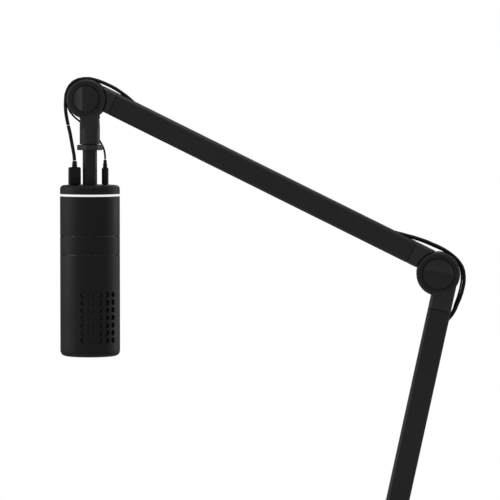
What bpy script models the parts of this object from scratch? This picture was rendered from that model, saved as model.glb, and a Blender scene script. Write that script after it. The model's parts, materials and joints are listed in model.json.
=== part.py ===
"""A cylindrical condenser microphone hanging from a two-part boom arm with a desk clamp.

Metres, +Z up. The origin is on the swivel axis, level with the top of the desk that the clamp
holds. The arm lies in the XZ plane, and the microphone hangs from its end at -X.
"""

from math import atan2, cos, pi, radians, sin, sqrt, tau

import bmesh
import bpy
from mathutils import Matrix, Vector

MM = 0.001
CLEARANCE = 0.3 * MM
RUNNING_GAP = 0.8 * MM
OVERLAP = 1.0 * MM  # how far a shape reaches into the one it is joined to, or out of the one it cuts
ROUND_STEPS = 28
CASE_STEPS = 48  # round the microphone's case

# The arm's hinge axes
SHOULDER_HEIGHT = 96 * MM
LOWER_SPAN = 379 * MM
UPPER_SPAN = 379 * MM
LOWER_LEAN = radians(12.2)  # from upright, towards +X
UPPER_RISE = radians(26.35)  # above level, towards -X

# The arm's tubes: a lead channel along the outer side and a hollow under it
TUBE_WIDTH = 26.0 * MM
TUBE_DEPTH = 22.0 * MM
TUBE_EDGE = 2.3 * MM
TUBE_WALL = 2.2 * MM
CHANNEL_WIDTH = 16.0 * MM
CHANNEL_DEPTH = 9.0 * MM
COVER_THICKNESS = 2.0 * MM
COVER_RECESS = 0.4 * MM
UPPER_OFFSET = 7.2 * MM  # from the line between the hinges out to the tube's centre line
LOWER_OFFSET = 8.7 * MM
WRIST_SEAM = 25.0 * MM  # from a hinge axis to the end of the tube
ELBOW_SEAM = 32.0 * MM
CLEVIS_SEAM = 34.0 * MM
SHOULDER_SEAM = 32.0 * MM
SPIGOT_LENGTH = 18.0 * MM
WRIST_MOUTH = 60.0 * MM  # from a hinge axis to the end of the channel cover
ELBOW_MOUTH = 76.0 * MM
LOWER_MOUTH = 60.0 * MM

# The friction hinges
WRIST_EAR = 19.0 * MM  # radii
ELBOW_EAR = 21.1 * MM
TONGUE_STEP = 1.3 * MM  # how much smaller a tongue's radius is than its ears'
TONGUE_THICKNESS = 12.0 * MM
NECK_OUTER = 12.0 * MM  # a tongue's neck, measured from the hinge axis
NECK_INNER = 3.4 * MM
CLEVIS_RECESS = 0.6 * MM
EAR_EASE = 0.1 * MM
BOLT_RADIUS = 3.0 * MM
WRIST_KNOB = 12.0 * MM
ELBOW_KNOB = 14.3 * MM
KNOB_EDGE = 4.5 * MM
KNOB_HEIGHT = 9.5 * MM
KNOB_RIDGE = 6.0 * MM
ELBOW_KNOB_TURN = radians(98)  # its ridge, from upright, clockwise as the knob is faced
NUT_RADIUS = 8.0 * MM
NUT_HEIGHT = 5.5 * MM

# The post under the wrist
POST_OFFSET = 2.4 * MM  # the post's axis, from the wrist's, towards +X
SLEEVE_RADIUS = 9.85 * MM
SLEEVE_END = 43.9 * MM  # below the wrist
SLEEVE_TOP = 16.0 * MM
SOCKET_DEPTH = 15.4 * MM
LOCK_NUT_RADIUS = 12.9 * MM  # to its corners
LOCK_NUT_HEIGHT = 5.2 * MM
LOCK_NUT_SIDES = 8
LOCK_NUT_TURN = radians(-8.8)
POLE_RADIUS = 7.05 * MM

# The microphone, heights from its bottom
MIC_RADIUS = 29.0 * MM
MIC_HEIGHT = 166.0 * MM
MIC_BELOW_WRIST = 83.0 * MM  # from the wrist to the top of the microphone
MIC_TURN = radians(23)  # its front, from -Y towards +X
SHELL_WALL = 2.5 * MM
BOTTOM_FILLET = 5.0 * MM
TOP_FILLET = 4.5 * MM
BOTTOM_THICKNESS = 3.0 * MM
LOWER_SHELL_TOP = 0.593 * MIC_HEIGHT
GAIN_RING_HEIGHT = 17.3 * MM
SEAM = 0.6 * MM
LIGHT_RING_BOTTOM = MIC_HEIGHT - 10.8 * MM
LIGHT_RING_HEIGHT = 1.8 * MM
CAP_THICKNESS = 4.0 * MM
HOLE_RADIUS = 2.5 * MM
HOLE_ROWS = 7
HOLE_COLUMNS = 5
HOLE_BOTTOM = 16.2 * MM
HOLE_PITCH = 7.37 * MM
HOLE_TURN = radians(15.6)
CAPSULE_RADIUS = 12.5 * MM
CAPSULE_THICKNESS = 9.0 * MM
CHASSIS_BOTTOM = LOWER_SHELL_TOP - 14.4 * MM
CHASSIS_TOP = LIGHT_RING_BOTTOM - 7.0 * MM
CHASSIS_WALL = 2.0 * MM
SOCKET_REACH = 15.5 * MM  # each socket's axis, from the microphone's axis
SOCKET_WALL = 0.8 * MM

# Plugs and leads
USB_MOULD = (12.0 * MM, 6.6 * MM, 17.0 * MM)
USB_TIP = (8.1 * MM, 2.3 * MM, 6.5 * MM)
USB_RELIEF = (2.65 * MM, 6.0 * MM)  # radius, length
JACK_RADIUS = 3.35 * MM
JACK_LENGTH = 16.0 * MM
JACK_TIP = (1.75 * MM, 14.0 * MM)
JACK_RELIEF = (2.2 * MM, 1.35 * MM, 8.0 * MM)  # radius at the barrel, radius at the lead, length
USB_LEAD = 3.4 * MM  # diameters
HEADPHONE_LEAD = 1.9 * MM

# The base
YOKE_RADIUS = 19.0 * MM
YOKE_NECK = 12.0 * MM
YOKE_BASE_HEIGHT = 12.0 * MM
PIN_RADIUS = 6.0 * MM
BUSH_WALL = 1.2 * MM
BUSH_FLANGE = 1.2 * MM
COLLAR_RADIUS = 17.0 * MM
COLLAR_TOP = 40.0 * MM
PAD_THICKNESS = 1.5 * MM
JAW_THICKNESS = 10.0 * MM
JAW_BACK = 40.0 * MM  # the clamp's spine, at +X
JAW_FRONT = 42.0 * MM
LOWER_JAW_FRONT = 15.0 * MM
JAW_WIDTH = 50.0 * MM
SPINE_THICKNESS = 9.0 * MM
JAW_OPENING = 64.0 * MM
DESK_THICKNESS = 25.0 * MM
SCREW_RADIUS = 5.0 * MM
SCREW_HEAD_RADIUS = 7.0 * MM
SCREW_BOTTOM = 114.0 * MM
SCREW_HEAD_HEIGHT = 16.0 * MM
PRESSURE_PAD_RADIUS = 16.0 * MM
HANDLE_RADIUS = 2.4 * MM
HANDLE_LENGTH = 62.0 * MM

SHOULDER = Vector((0, 0, SHOULDER_HEIGHT))
ELBOW = SHOULDER + LOWER_SPAN * Vector((sin(LOWER_LEAN), 0, cos(LOWER_LEAN)))
WRIST = ELBOW + UPPER_SPAN * Vector((-cos(UPPER_RISE), 0, sin(UPPER_RISE)))
POST = WRIST + Vector((POST_OFFSET, 0, 0))
MIC_BASE = POST - Vector((0, 0, MIC_BELOW_WRIST + MIC_HEIGHT))

WORLD = Matrix.Identity(4)
ALONG_Y = Matrix.Rotation(-pi / 2, 4, "X")  # a turned shape's own +Z becomes +Y


# Materials

def material(name, colour, roughness, metallic=0.0):
    made = bpy.data.materials.new(name)
    made.use_nodes = True
    shader = made.node_tree.nodes["Principled BSDF"]
    shader.inputs["Base Color"].default_value = (*colour, 1)
    shader.inputs["Roughness"].default_value = roughness
    shader.inputs["Metallic"].default_value = metallic
    return made


# Shapes, as closed bmeshes in metres

def prism(points, along):
    """A flat outline of 3-D points, extruded by the vector along."""
    shape = bmesh.new()
    face = shape.faces.new([shape.verts.new(point) for point in points])
    grown = bmesh.ops.extrude_face_region(shape, geom=[face], use_keep_orig=True)
    moved = [part for part in grown["geom"] if isinstance(part, bmesh.types.BMVert)]
    bmesh.ops.translate(shape, verts=moved, vec=along)
    bmesh.ops.recalc_face_normals(shape, faces=shape.faces)
    return shape


def box(low, high):
    """A box between two corners."""
    (x, y, z), (x_far, y_far, z_far) = low, high
    outline = [(x, y, z), (x_far, y, z), (x_far, y_far, z), (x, y_far, z)]
    return prism(outline, (0, 0, z_far - z))


def arc(centre, radius, start, end, steps):
    """Points on an arc in the plane, from angle start to angle end."""
    angles = [start + (end - start) * step / steps for step in range(steps + 1)]
    return [(centre[0] + radius * cos(a), centre[1] + radius * sin(a)) for a in angles]


def turned(profile, steps=ROUND_STEPS):
    """A closed (radius, height) outline turned about Z."""
    shape = bmesh.new()
    verts = [shape.verts.new((radius, 0, height)) for radius, height in profile]
    pairs = zip(verts, verts[1:] + verts[:1])
    edges = [shape.edges.new(pair) for pair in pairs if max(pair[0].co.x, pair[1].co.x) > 0]
    bmesh.ops.spin(shape, geom=verts + edges, axis=(0, 0, 1), cent=(0, 0, 0), angle=tau, steps=steps)
    bmesh.ops.remove_doubles(shape, verts=shape.verts, dist=1e-7)
    bmesh.ops.recalc_face_normals(shape, faces=shape.faces)
    return shape


def rod(radius, low, high, steps=ROUND_STEPS):
    """A plain cylinder about Z."""
    return turned([(0, low), (radius, low), (radius, high), (0, high)], steps)


def ring(inner, outer, low, high, steps=ROUND_STEPS):
    """A plain tube about Z."""
    return turned([(inner, low), (outer, low), (outer, high), (inner, high)], steps)


def moved(shape, matrix):
    """The same shape, carried by a matrix."""
    bmesh.ops.transform(shape, matrix=matrix, verts=shape.verts)
    return shape


def gathered(shapes):
    """Several separate shapes in one mesh, for cutting with."""
    mesh = bpy.data.meshes.new("gathered")
    whole = bmesh.new()
    for shape in shapes:
        shape.to_mesh(mesh)
        whole.from_mesh(mesh)
        shape.free()
    bpy.data.meshes.remove(mesh)
    return whole


# Objects

def joint_empty(name, parent, place):
    """An empty on a joint's axis. place is its matrix in the world."""
    empty = bpy.data.objects.new(name, None)
    bpy.context.collection.objects.link(empty)
    empty.parent = parent
    empty["place"] = [value for row in place for value in row]
    empty.matrix_basis = (world_of(parent).inverted() @ place) if parent else place
    return empty


def world_of(empty):
    """The matrix that a joint's empty was placed with."""
    values = list(empty["place"])
    return Matrix([values[row * 4:row * 4 + 4] for row in range(4)])


def add_object(name, shape, parent, finish=None):
    mesh = bpy.data.meshes.new(name)
    shape.to_mesh(mesh)
    shape.free()
    made = bpy.data.objects.new(name, mesh)
    bpy.context.collection.objects.link(made)
    made.parent = parent
    if finish:
        mesh.materials.append(finish)
        mesh.shade_smooth()
        mesh.set_sharp_from_angle(angle=radians(35))
    return made


def combine(body, shape, operation):
    """Cut a shape out of a body, or join it on, with both in the body's own frame."""
    tool = add_object(f"{body.name}_{operation.lower()}_{len(body.modifiers)}", shape, body.parent)
    tool.matrix_basis = body.matrix_basis.copy()
    tool.hide_render = True
    tool.display_type = "WIRE"
    step = body.modifiers.new(operation.title(), "BOOLEAN")
    step.operation = operation
    step.object = tool
    step.solver = "EXACT"
    return body


def cut(body, shape):
    return combine(body, shape, "DIFFERENCE")


def join(body, shape):
    return combine(body, shape, "UNION")


# The microphone

def build_microphone(frame, black, dark, metal, board, white, rubber):
    """Everything that pans about the pole, in a frame at the microphone's bottom with its front at -Y."""
    inner = MIC_RADIUS - SHELL_WALL
    lower = turned([
        (0, 0),
        *arc((MIC_RADIUS - BOTTOM_FILLET, BOTTOM_FILLET), BOTTOM_FILLET, -pi / 2, 0, 3),
        (MIC_RADIUS, LOWER_SHELL_TOP), (inner, LOWER_SHELL_TOP), (inner, BOTTOM_THICKNESS), (0, BOTTOM_THICKNESS),
    ], steps=CASE_STEPS)
    shell = add_object("lower_shell", lower, frame, black)
    drills = []
    for side in (0, pi):
        for column in range(HOLE_COLUMNS):
            turn = side + (column - (HOLE_COLUMNS - 1) / 2) * HOLE_TURN
            for row in range(HOLE_ROWS):
                height = HOLE_BOTTOM + row * HOLE_PITCH
                drill = rod(HOLE_RADIUS, -MIC_RADIUS - OVERLAP, -inner + OVERLAP, steps=6)
                place = Matrix.Rotation(turn, 4, "Z") @ Matrix.Translation((0, 0, height)) @ ALONG_Y
                drills.append(moved(drill, place))
    cut(shell, gathered(drills))

    ring_top = LOWER_SHELL_TOP + SEAM + GAIN_RING_HEIGHT
    upper_top = LIGHT_RING_BOTTOM - CLEARANCE
    chassis_outer = inner - RUNNING_GAP
    ring_inner = chassis_outer + CLEARANCE
    add_object("upper_shell", ring(inner, MIC_RADIUS, ring_top + SEAM, upper_top, CASE_STEPS), frame, black)
    light_inner = MIC_RADIUS - 7 * MM
    light_top = LIGHT_RING_BOTTOM + LIGHT_RING_HEIGHT
    guide = ring(light_inner, MIC_RADIUS, LIGHT_RING_BOTTOM, light_top, CASE_STEPS)
    add_object("light_ring", guide, frame, white)
    board_low = CHASSIS_TOP + 3 * MM
    lights = ring(light_inner, inner - CLEARANCE, board_low, board_low + 1.2 * MM)
    add_object("light_board", lights, frame, board)

    chassis = ring(chassis_outer - CHASSIS_WALL, chassis_outer, CHASSIS_BOTTOM, CHASSIS_TOP)
    add_object("chassis", chassis, frame, metal)
    bracket_top = CHASSIS_BOTTOM - CLEARANCE
    bracket_low = bracket_top - 2.5 * MM
    mesh_outer = inner - 0.4 * MM
    mesh_low = BOTTOM_THICKNESS + CLEARANCE
    mesh = ring(mesh_outer - 0.6 * MM, mesh_outer, mesh_low, bracket_low - CLEARANCE)
    add_object("acoustic_mesh", mesh, frame, dark)

    centre = HOLE_BOTTOM + HOLE_PITCH * (HOLE_ROWS - 1) / 2
    at_capsule = Matrix.Translation((0, 0, centre)) @ ALONG_Y
    half = CAPSULE_THICKNESS / 2
    rim = 1.2 * MM
    disc = turned([
        (0, -half + rim), (CAPSULE_RADIUS - 2 * rim, -half + rim), (CAPSULE_RADIUS - 2 * rim, -half),
        (CAPSULE_RADIUS, -half), (CAPSULE_RADIUS, half), (CAPSULE_RADIUS - 2 * rim, half),
        (CAPSULE_RADIUS - 2 * rim, half - rim), (0, half - rim),
    ])
    add_object("capsule", moved(disc, at_capsule), frame, metal)
    cradle_outer = CAPSULE_RADIUS + 4 * MM
    cradle = ring(CAPSULE_RADIUS + CLEARANCE, cradle_outer, -half + rim, half - rim)
    add_object("capsule_cradle", moved(cradle, at_capsule), frame, rubber)
    bracket = add_object("capsule_bracket", rod(chassis_outer, bracket_low, bracket_top), frame, dark)
    for side in (-1, 1):
        near, far = sorted((side * (cradle_outer + CLEARANCE), side * (cradle_outer + 3 * MM)))
        join(bracket, box((near, -3 * MM, centre - 4 * MM), (far, 3 * MM, bracket_low + OVERLAP)))

    gain = ring(ring_inner, MIC_RADIUS, LOWER_SHELL_TOP + SEAM, ring_top, CASE_STEPS)
    main_low = CHASSIS_BOTTOM + 6 * MM
    main = box((-20 * MM, 8 * MM, main_low), (20 * MM, 9.6 * MM, CHASSIS_TOP - 3 * MM))
    add_object("main_board", main, frame, board)

    cap_low = light_top + CLEARANCE
    plate_low = MIC_HEIGHT - CAP_THICKNESS
    gap, wall = CLEARANCE, SOCKET_WALL
    usb_width, usb_depth, usb_long = USB_TIP
    slot = (usb_width / 2 + gap, usb_depth / 2 + gap)
    outer = (slot[0] + wall, slot[1] + wall)
    boss = SOCKET_REACH - outer[0] - gap
    boss_low = plate_low - 9 * MM
    bore = POLE_RADIUS + CLEARANCE
    cap = turned([
        (bore, boss_low), (boss, boss_low), (boss, plate_low), (inner, plate_low), (inner, cap_low),
        (MIC_RADIUS, cap_low),
        *arc((MIC_RADIUS - TOP_FILLET, MIC_HEIGHT - TOP_FILLET), TOP_FILLET, 0, pi / 2, 3),
        (bore, MIC_HEIGHT),
    ], steps=CASE_STEPS)
    top_cap = add_object("top_cap", cap, frame, black)
    low, high = plate_low - OVERLAP, MIC_HEIGHT + OVERLAP
    cut(top_cap, box((-SOCKET_REACH - slot[0], -slot[1], low), (-SOCKET_REACH + slot[0], slot[1], high)))
    hole = moved(rod(JACK_TIP[0] + gap, low, high, 16), Matrix.Translation((SOCKET_REACH, 0, 0)))
    cut(top_cap, hole)

    socket_top = plate_low - gap
    floor = MIC_HEIGHT - usb_long - 2 * gap
    usb = box(
        (-SOCKET_REACH - outer[0], -outer[1], floor - wall), (-SOCKET_REACH + outer[0], outer[1], socket_top)
    )
    usb_socket = add_object("usb_socket", usb, frame, metal)
    cut(usb_socket, box(
        (-SOCKET_REACH - slot[0], -slot[1], floor), (-SOCKET_REACH + slot[0], slot[1], socket_top + OVERLAP)
    ))
    jack_floor = MIC_HEIGHT - JACK_TIP[1] - gap
    half_socket = JACK_TIP[0] + gap + 1.4 * MM
    jack = box(
        (SOCKET_REACH - half_socket, -half_socket, jack_floor - wall),
        (SOCKET_REACH + half_socket, half_socket, socket_top),
    )
    headphone_socket = add_object("headphone_socket", jack, frame, dark)
    bored = moved(rod(JACK_TIP[0] + gap, jack_floor, socket_top + OVERLAP, 16),
                  Matrix.Translation((SOCKET_REACH, 0, 0)))
    cut(headphone_socket, bored)

    pole_top = MIC_HEIGHT + MIC_BELOW_WRIST - SLEEVE_END + SOCKET_DEPTH - OVERLAP
    add_object("pole", rod(POLE_RADIUS, boss_low + OVERLAP, pole_top), frame, metal)
    build_usb_plug("usb_plug", frame, dark)
    build_jack_plug("headphone_plug", frame, dark)
    return gain


def build_usb_plug(name, frame, finish):
    """The overmould on the cap, with the tip that goes into the socket and the strain relief."""
    width, depth, length = USB_MOULD
    foot = MIC_HEIGHT + CLEARANCE
    corner = depth / 2 - 0.4 * MM
    outline = []
    for side_x, side_y, start in ((1, 1, 0), (-1, 1, pi / 2), (-1, -1, pi), (1, -1, 3 * pi / 2)):
        middle = (side_x * (width / 2 - corner), side_y * (depth / 2 - corner))
        outline += arc(middle, corner, start, start + pi / 2, 4)
    mould = prism([(x - SOCKET_REACH, y, foot) for x, y in outline], (0, 0, length))
    plug = add_object(name, mould, frame, finish)
    tip_x, tip_y, tip_z = USB_TIP
    join(plug, box(
        (-SOCKET_REACH - tip_x / 2, -tip_y / 2, MIC_HEIGHT - tip_z),
        (-SOCKET_REACH + tip_x / 2, tip_y / 2, foot + OVERLAP),
    ))
    radius, long = USB_RELIEF
    top = foot + length
    relief = turned([(0, top - OVERLAP), (radius, top - OVERLAP), (radius, top + long - OVERLAP),
                     (radius - OVERLAP, top + long), (0, top + long)], 20)
    join(plug, moved(relief, Matrix.Translation((-SOCKET_REACH, 0, 0))))


def build_jack_plug(name, frame, finish):
    """A turned barrel with its contact pin below and its stepped strain relief above."""
    foot = MIC_HEIGHT + CLEARANCE
    top = foot + JACK_LENGTH
    low_radius, high_radius, long = JACK_RELIEF
    tip = MIC_HEIGHT - JACK_TIP[1]
    profile = [
        (0, tip), (JACK_TIP[0] - 0.8 * MM, tip), (JACK_TIP[0], tip + 1.5 * MM), (JACK_TIP[0], foot),
        (JACK_RADIUS, foot), (JACK_RADIUS, top - 0.5 * MM), (JACK_RADIUS - 0.5 * MM, top), (low_radius, top),
        (low_radius, top + long / 2), (high_radius, top + long / 2), (high_radius, top + long), (0, top + long),
    ]
    barrel = moved(turned(profile, 20), Matrix.Translation((SOCKET_REACH, 0, 0)))
    add_object(name, barrel, frame, finish)


# The hinges. A hinge's frame has its axis along Y, through the frame's origin.

def across(shape):
    """A shape turned about Z, laid along a hinge's axis."""
    return moved(shape, ALONG_Y)


def slot_half():
    return TONGUE_THICKNESS / 2 + CLEARANCE


def tongue_radius(ear):
    return ear - TONGUE_STEP


def ears(radius, half_width):
    """Two discs, one on each side of the tongue's slot and a hair wider apart than it."""
    near = slot_half() + EAR_EASE
    return [across(rod(radius, near, half_width)), across(rod(radius, -half_width, -near))]


def finish_clevis(clevis, ear):
    """Clear the tongue's slot, then drill for the bolt."""
    cut(clevis, across(rod(tongue_radius(ear) + 2 * CLEARANCE, -slot_half(), slot_half(), 40)))
    cut(clevis, across(rod(BOLT_RADIUS + CLEARANCE, -TUBE_WIDTH, TUBE_WIDTH, 20)))


def build_fastening(hinge_name, frame, knob_radius, turning, dark, metal, knob_turn=0.0):
    """The knob with its bolt on the near side, and the nut on the far side."""
    face = TUBE_WIDTH / 2 + CLEARANCE
    top = face + KNOB_HEIGHT
    # the knob is a roof with a flat ridge, cut round
    roof = [
        (-knob_radius, -face), (-knob_radius, -face - KNOB_EDGE), (-KNOB_RIDGE / 2, -top), (KNOB_RIDGE / 2, -top),
        (knob_radius, -face - KNOB_EDGE), (knob_radius, -face),
    ]
    low, high = -knob_radius - OVERLAP, knob_radius + OVERLAP
    bar = moved(prism([(x, y, low) for x, y in roof], (0, 0, high - low)), Matrix.Rotation(knob_turn, 4, "Y"))
    body = add_object(f"{hinge_name}_knob", bar, turning, dark)
    combine(body, across(rod(knob_radius, -top - OVERLAP, -face)), "INTERSECT")
    cut(body, across(rod(BOLT_RADIUS + CLEARANCE, -face - KNOB_EDGE + OVERLAP, -face + OVERLAP, 20)))
    bolt_end = face + NUT_HEIGHT - OVERLAP
    bolt = across(rod(BOLT_RADIUS, -face - KNOB_EDGE + 2 * OVERLAP, bolt_end, 20))
    add_object(f"{hinge_name}_bolt", bolt, turning, metal)
    nut = add_object(f"{hinge_name}_nut", across(rod(NUT_RADIUS, face, face + NUT_HEIGHT, 6)), frame, metal)
    cut(nut, across(rod(BOLT_RADIUS + CLEARANCE, face - OVERLAP, face + NUT_HEIGHT + OVERLAP, 20)))


# The arm's pieces. An arm's frame has +X along it from the base's end, and its outer side at -Z.

def section(offset, shrink=0.0):
    """The tube's outline across the arm, as (y, z), with its long edges chamfered."""
    y, z, edge = TUBE_WIDTH / 2 - shrink, TUBE_DEPTH / 2, TUBE_EDGE
    return [
        (side_y * (y - inset_y), -offset + side_z * (z - inset_z))
        for side_y, side_z, insets in (
            (1, 1, ((0, edge), (edge, 0))), (-1, 1, ((edge, 0), (0, edge))),
            (-1, -1, ((0, edge), (edge, 0))), (1, -1, ((edge, 0), (0, edge))),
        )
        for inset_y, inset_z in insets
    ]


def block(offset, start, end, shrink=0.0):
    return prism([(start, y, z) for y, z in section(offset, shrink)], (end - start, 0, 0))


def hollow(offset, slack):
    """The tube's inner hollow, as its half width and its two heights."""
    outer_face = -offset - TUBE_DEPTH / 2
    return (
        TUBE_WIDTH / 2 - TUBE_WALL - slack,
        outer_face + CHANNEL_DEPTH + TUBE_WALL + slack,
        outer_face + TUBE_DEPTH - TUBE_WALL - slack,
    )


def build_tube(arm, frame, offset, start, end, covered, black, dark):
    """The tube and the cover of its lead channel."""
    tube = add_object(f"{arm}_tube", block(offset, start, end), frame, black)
    outer_face = -offset - TUBE_DEPTH / 2
    half, low, high = hollow(offset, 0)
    cut(tube, box((start - OVERLAP, -half, low), (end + OVERLAP, half, high)))
    half = CHANNEL_WIDTH / 2
    bottom = outer_face + CHANNEL_DEPTH
    cut(tube, box((start - OVERLAP, -half, outer_face - OVERLAP), (end + OVERLAP, half, bottom)))
    half -= CLEARANCE
    top = outer_face + COVER_RECESS
    cover = box((covered[0], -half, top), (covered[1], half, top + COVER_THICKNESS))
    add_object(f"{arm}_channel_cover", cover, frame, dark)


def end_spigot(offset, seam):
    half, low, high = hollow(offset, CLEARANCE)
    return box((seam - 3 * OVERLAP, -half, low), (seam + SPIGOT_LENGTH, half, high))


def build_tongue_end(name, frame, place, offset, seam, ear, finish):
    """An end with a concave face round the ears, and a tongue that turns between them."""
    fitting = add_object(name, block(offset, 2 * MM, seam), frame, finish)
    fitting.matrix_basis = place
    cut(fitting, across(rod(ear + RUNNING_GAP, -TUBE_WIDTH, TUBE_WIDTH, 40)))
    radius = tongue_radius(ear)
    from_angle, to_angle = atan2(NECK_INNER, sqrt(radius**2 - NECK_INNER**2)), tau - atan2(
        NECK_OUTER, sqrt(radius**2 - NECK_OUTER**2)
    )
    reach = ear + 3 * MM
    outline = [*arc((0, 0), radius, from_angle, to_angle, 28), (reach, -NECK_OUTER), (reach, NECK_INNER)]
    half = TONGUE_THICKNESS / 2
    join(fitting, prism([(x, -half, z) for x, z in outline], (0, TONGUE_THICKNESS, 0)))
    join(fitting, end_spigot(offset, seam))
    cut(fitting, across(rod(BOLT_RADIUS + CLEARANCE, -TUBE_WIDTH, TUBE_WIDTH, 20)))


def build_elbow_clevis(frame, place, black):
    """The lower arm's top end: two ears round the upper arm's tongue."""
    reach = tongue_radius(ELBOW_EAR) / 2
    clevis = add_object("elbow_clevis", block(LOWER_OFFSET, reach, CLEVIS_SEAM, CLEVIS_RECESS), frame, black)
    clevis.matrix_basis = place
    for ear in ears(ELBOW_EAR, TUBE_WIDTH / 2):
        join(clevis, ear)
    join(clevis, end_spigot(LOWER_OFFSET, CLEVIS_SEAM))
    finish_clevis(clevis, ELBOW_EAR)


def build_wrist_clevis(frame, black):
    """The ears at the end of the boom, with the sleeve that holds the pole."""
    axis = Matrix.Translation((POST_OFFSET, 0, 0))
    sleeve = moved(rod(SLEEVE_RADIUS, -SLEEVE_END, -SLEEVE_TOP), axis)
    clevis = add_object("wrist_clevis", sleeve, frame, black)
    wide, narrow = TUBE_WIDTH / 2 - CLEVIS_RECESS, SLEEVE_RADIUS - CLEARANCE
    slope_top, slope_end = -WRIST_EAR, -WRIST_EAR - 8 * MM
    bridge = [
        (-wide, -12 * MM), (-wide, slope_top), (-narrow, slope_end), (narrow, slope_end), (wide, slope_top),
        (wide, -12 * MM),
    ]
    half = SLEEVE_RADIUS - OVERLAP
    join(clevis, prism([(POST_OFFSET - half, y, z) for y, z in bridge], (2 * half, 0, 0)))
    for ear in ears(WRIST_EAR, TUBE_WIDTH / 2):
        join(clevis, ear)
    finish_clevis(clevis, WRIST_EAR)
    bore = rod(POLE_RADIUS + CLEARANCE, -SLEEVE_END - OVERLAP, -SLEEVE_END + SOCKET_DEPTH)
    cut(clevis, moved(bore, axis))


# The base

def build_yoke(frame, black, metal):
    """In the shoulder's frame, upright: the ears on a round foot, and the pin that swivels in the clamp."""
    foot_low = -(SHOULDER_HEIGHT - COLLAR_TOP - BUSH_FLANGE - 2 * CLEARANCE)
    foot_high = foot_low + YOKE_BASE_HEIGHT
    yoke = add_object("yoke", rod(YOKE_RADIUS, foot_low, foot_high), frame, black)
    half = TUBE_WIDTH / 2 - CLEVIS_RECESS
    join(yoke, box((-YOKE_NECK, -half, foot_high - OVERLAP), (YOKE_NECK, half, -YOKE_NECK)))
    for ear in ears(ELBOW_EAR, TUBE_WIDTH / 2):
        join(yoke, ear)
    finish_clevis(yoke, ELBOW_EAR)
    pin_top = foot_high + 6 * MM
    cut(yoke, rod(PIN_RADIUS + CLEARANCE, foot_low - OVERLAP, pin_top, 24))
    pin_low = PAD_THICKNESS + CLEARANCE + 3 * MM - SHOULDER_HEIGHT
    add_object("swivel_pin", rod(PIN_RADIUS, pin_low, pin_top - CLEARANCE, 24), frame, metal)


def build_clamp(black, metal, rubber):
    """The C-shaped frame, its desk pad and the swivel's bush."""
    jaw_low = PAD_THICKNESS + CLEARANCE
    jaw_high = jaw_low + JAW_THICKNESS
    lower_high = -JAW_OPENING
    lower_low = lower_high - JAW_THICKNESS
    spine = JAW_BACK - SPINE_THICKNESS
    corner = 5 * MM
    outline = [
        (-JAW_FRONT, jaw_low), (spine, jaw_low), (spine, lower_high), (-LOWER_JAW_FRONT, lower_high),
        (-LOWER_JAW_FRONT, lower_low),
        *arc((JAW_BACK - corner, lower_low + corner), corner, -pi / 2, 0, 5),
        *arc((JAW_BACK - corner, jaw_high - corner), corner, 0, pi / 2, 5),
        (-JAW_FRONT, jaw_high),
    ]
    half = JAW_WIDTH / 2
    frame = add_object("clamp_frame", prism([(x, -half, z) for x, z in outline], (0, JAW_WIDTH, 0)), None, black)
    join(frame, rod(COLLAR_RADIUS, jaw_high - OVERLAP, COLLAR_TOP))
    bush_outer = PIN_RADIUS + CLEARANCE + BUSH_WALL
    cut(frame, rod(bush_outer + CLEARANCE, jaw_low + 2.4 * MM, COLLAR_TOP + OVERLAP, 32))
    cut(frame, rod(SCREW_RADIUS + CLEARANCE, lower_low - OVERLAP, lower_high + OVERLAP, 24))
    desk_pad = box((-JAW_FRONT + 2 * MM, -half + 3 * MM, 0), (spine - 4 * MM, half - 3 * MM, PAD_THICKNESS))
    add_object("desk_pad", desk_pad, None, rubber)
    inner = PIN_RADIUS + CLEARANCE
    flange_low = COLLAR_TOP + CLEARANCE
    bush = turned([
        (inner, jaw_high), (bush_outer, jaw_high), (bush_outer, flange_low), (COLLAR_RADIUS - MM, flange_low),
        (COLLAR_RADIUS - MM, flange_low + BUSH_FLANGE), (inner, flange_low + BUSH_FLANGE),
    ], 32)
    add_object("swivel_bush", bush, None, rubber)


def build_screw(pad_frame, screw_frame, black, metal):
    """The pressure pad, and the screw and handle that drive it, in world height."""
    top = -DESK_THICKNESS
    plate = top - 4 * MM
    cup_low = plate - 9 * MM
    ball = SCREW_RADIUS + CLEARANCE
    pad = turned([
        (0, plate - 2 * MM), (ball, plate - 2 * MM), (ball, cup_low), (ball + 2.5 * MM, cup_low),
        (ball + 2.5 * MM, plate), (PRESSURE_PAD_RADIUS, plate), (PRESSURE_PAD_RADIUS, top), (0, top),
    ], 32)
    add_object("pressure_pad", pad, pad_frame, black)
    head_top = -SCREW_BOTTOM + SCREW_HEAD_HEIGHT
    screw = add_object("clamp_screw", turned([
        (0, -SCREW_BOTTOM), (SCREW_HEAD_RADIUS, -SCREW_BOTTOM), (SCREW_HEAD_RADIUS, head_top),
        (SCREW_RADIUS, head_top), (SCREW_RADIUS, plate - 4 * MM), (SCREW_RADIUS - 1.5 * MM, plate - 2.5 * MM),
        (0, plate - 2.5 * MM),
    ], 32), screw_frame, metal)
    middle = -SCREW_BOTTOM + SCREW_HEAD_HEIGHT / 2
    across_x = Matrix.Translation((0, 0, middle)) @ Matrix.Rotation(pi / 2, 4, "Y")
    half = HANDLE_LENGTH / 2
    cut(screw, moved(rod(HANDLE_RADIUS + CLEARANCE, -half, half, 16), across_x))
    add_object("clamp_handle", moved(rod(HANDLE_RADIUS, -half, half, 16), across_x), screw_frame, metal)


# The leads. Points are in millimetres from the hinge that a stretch passes, chosen by hand.

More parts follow.
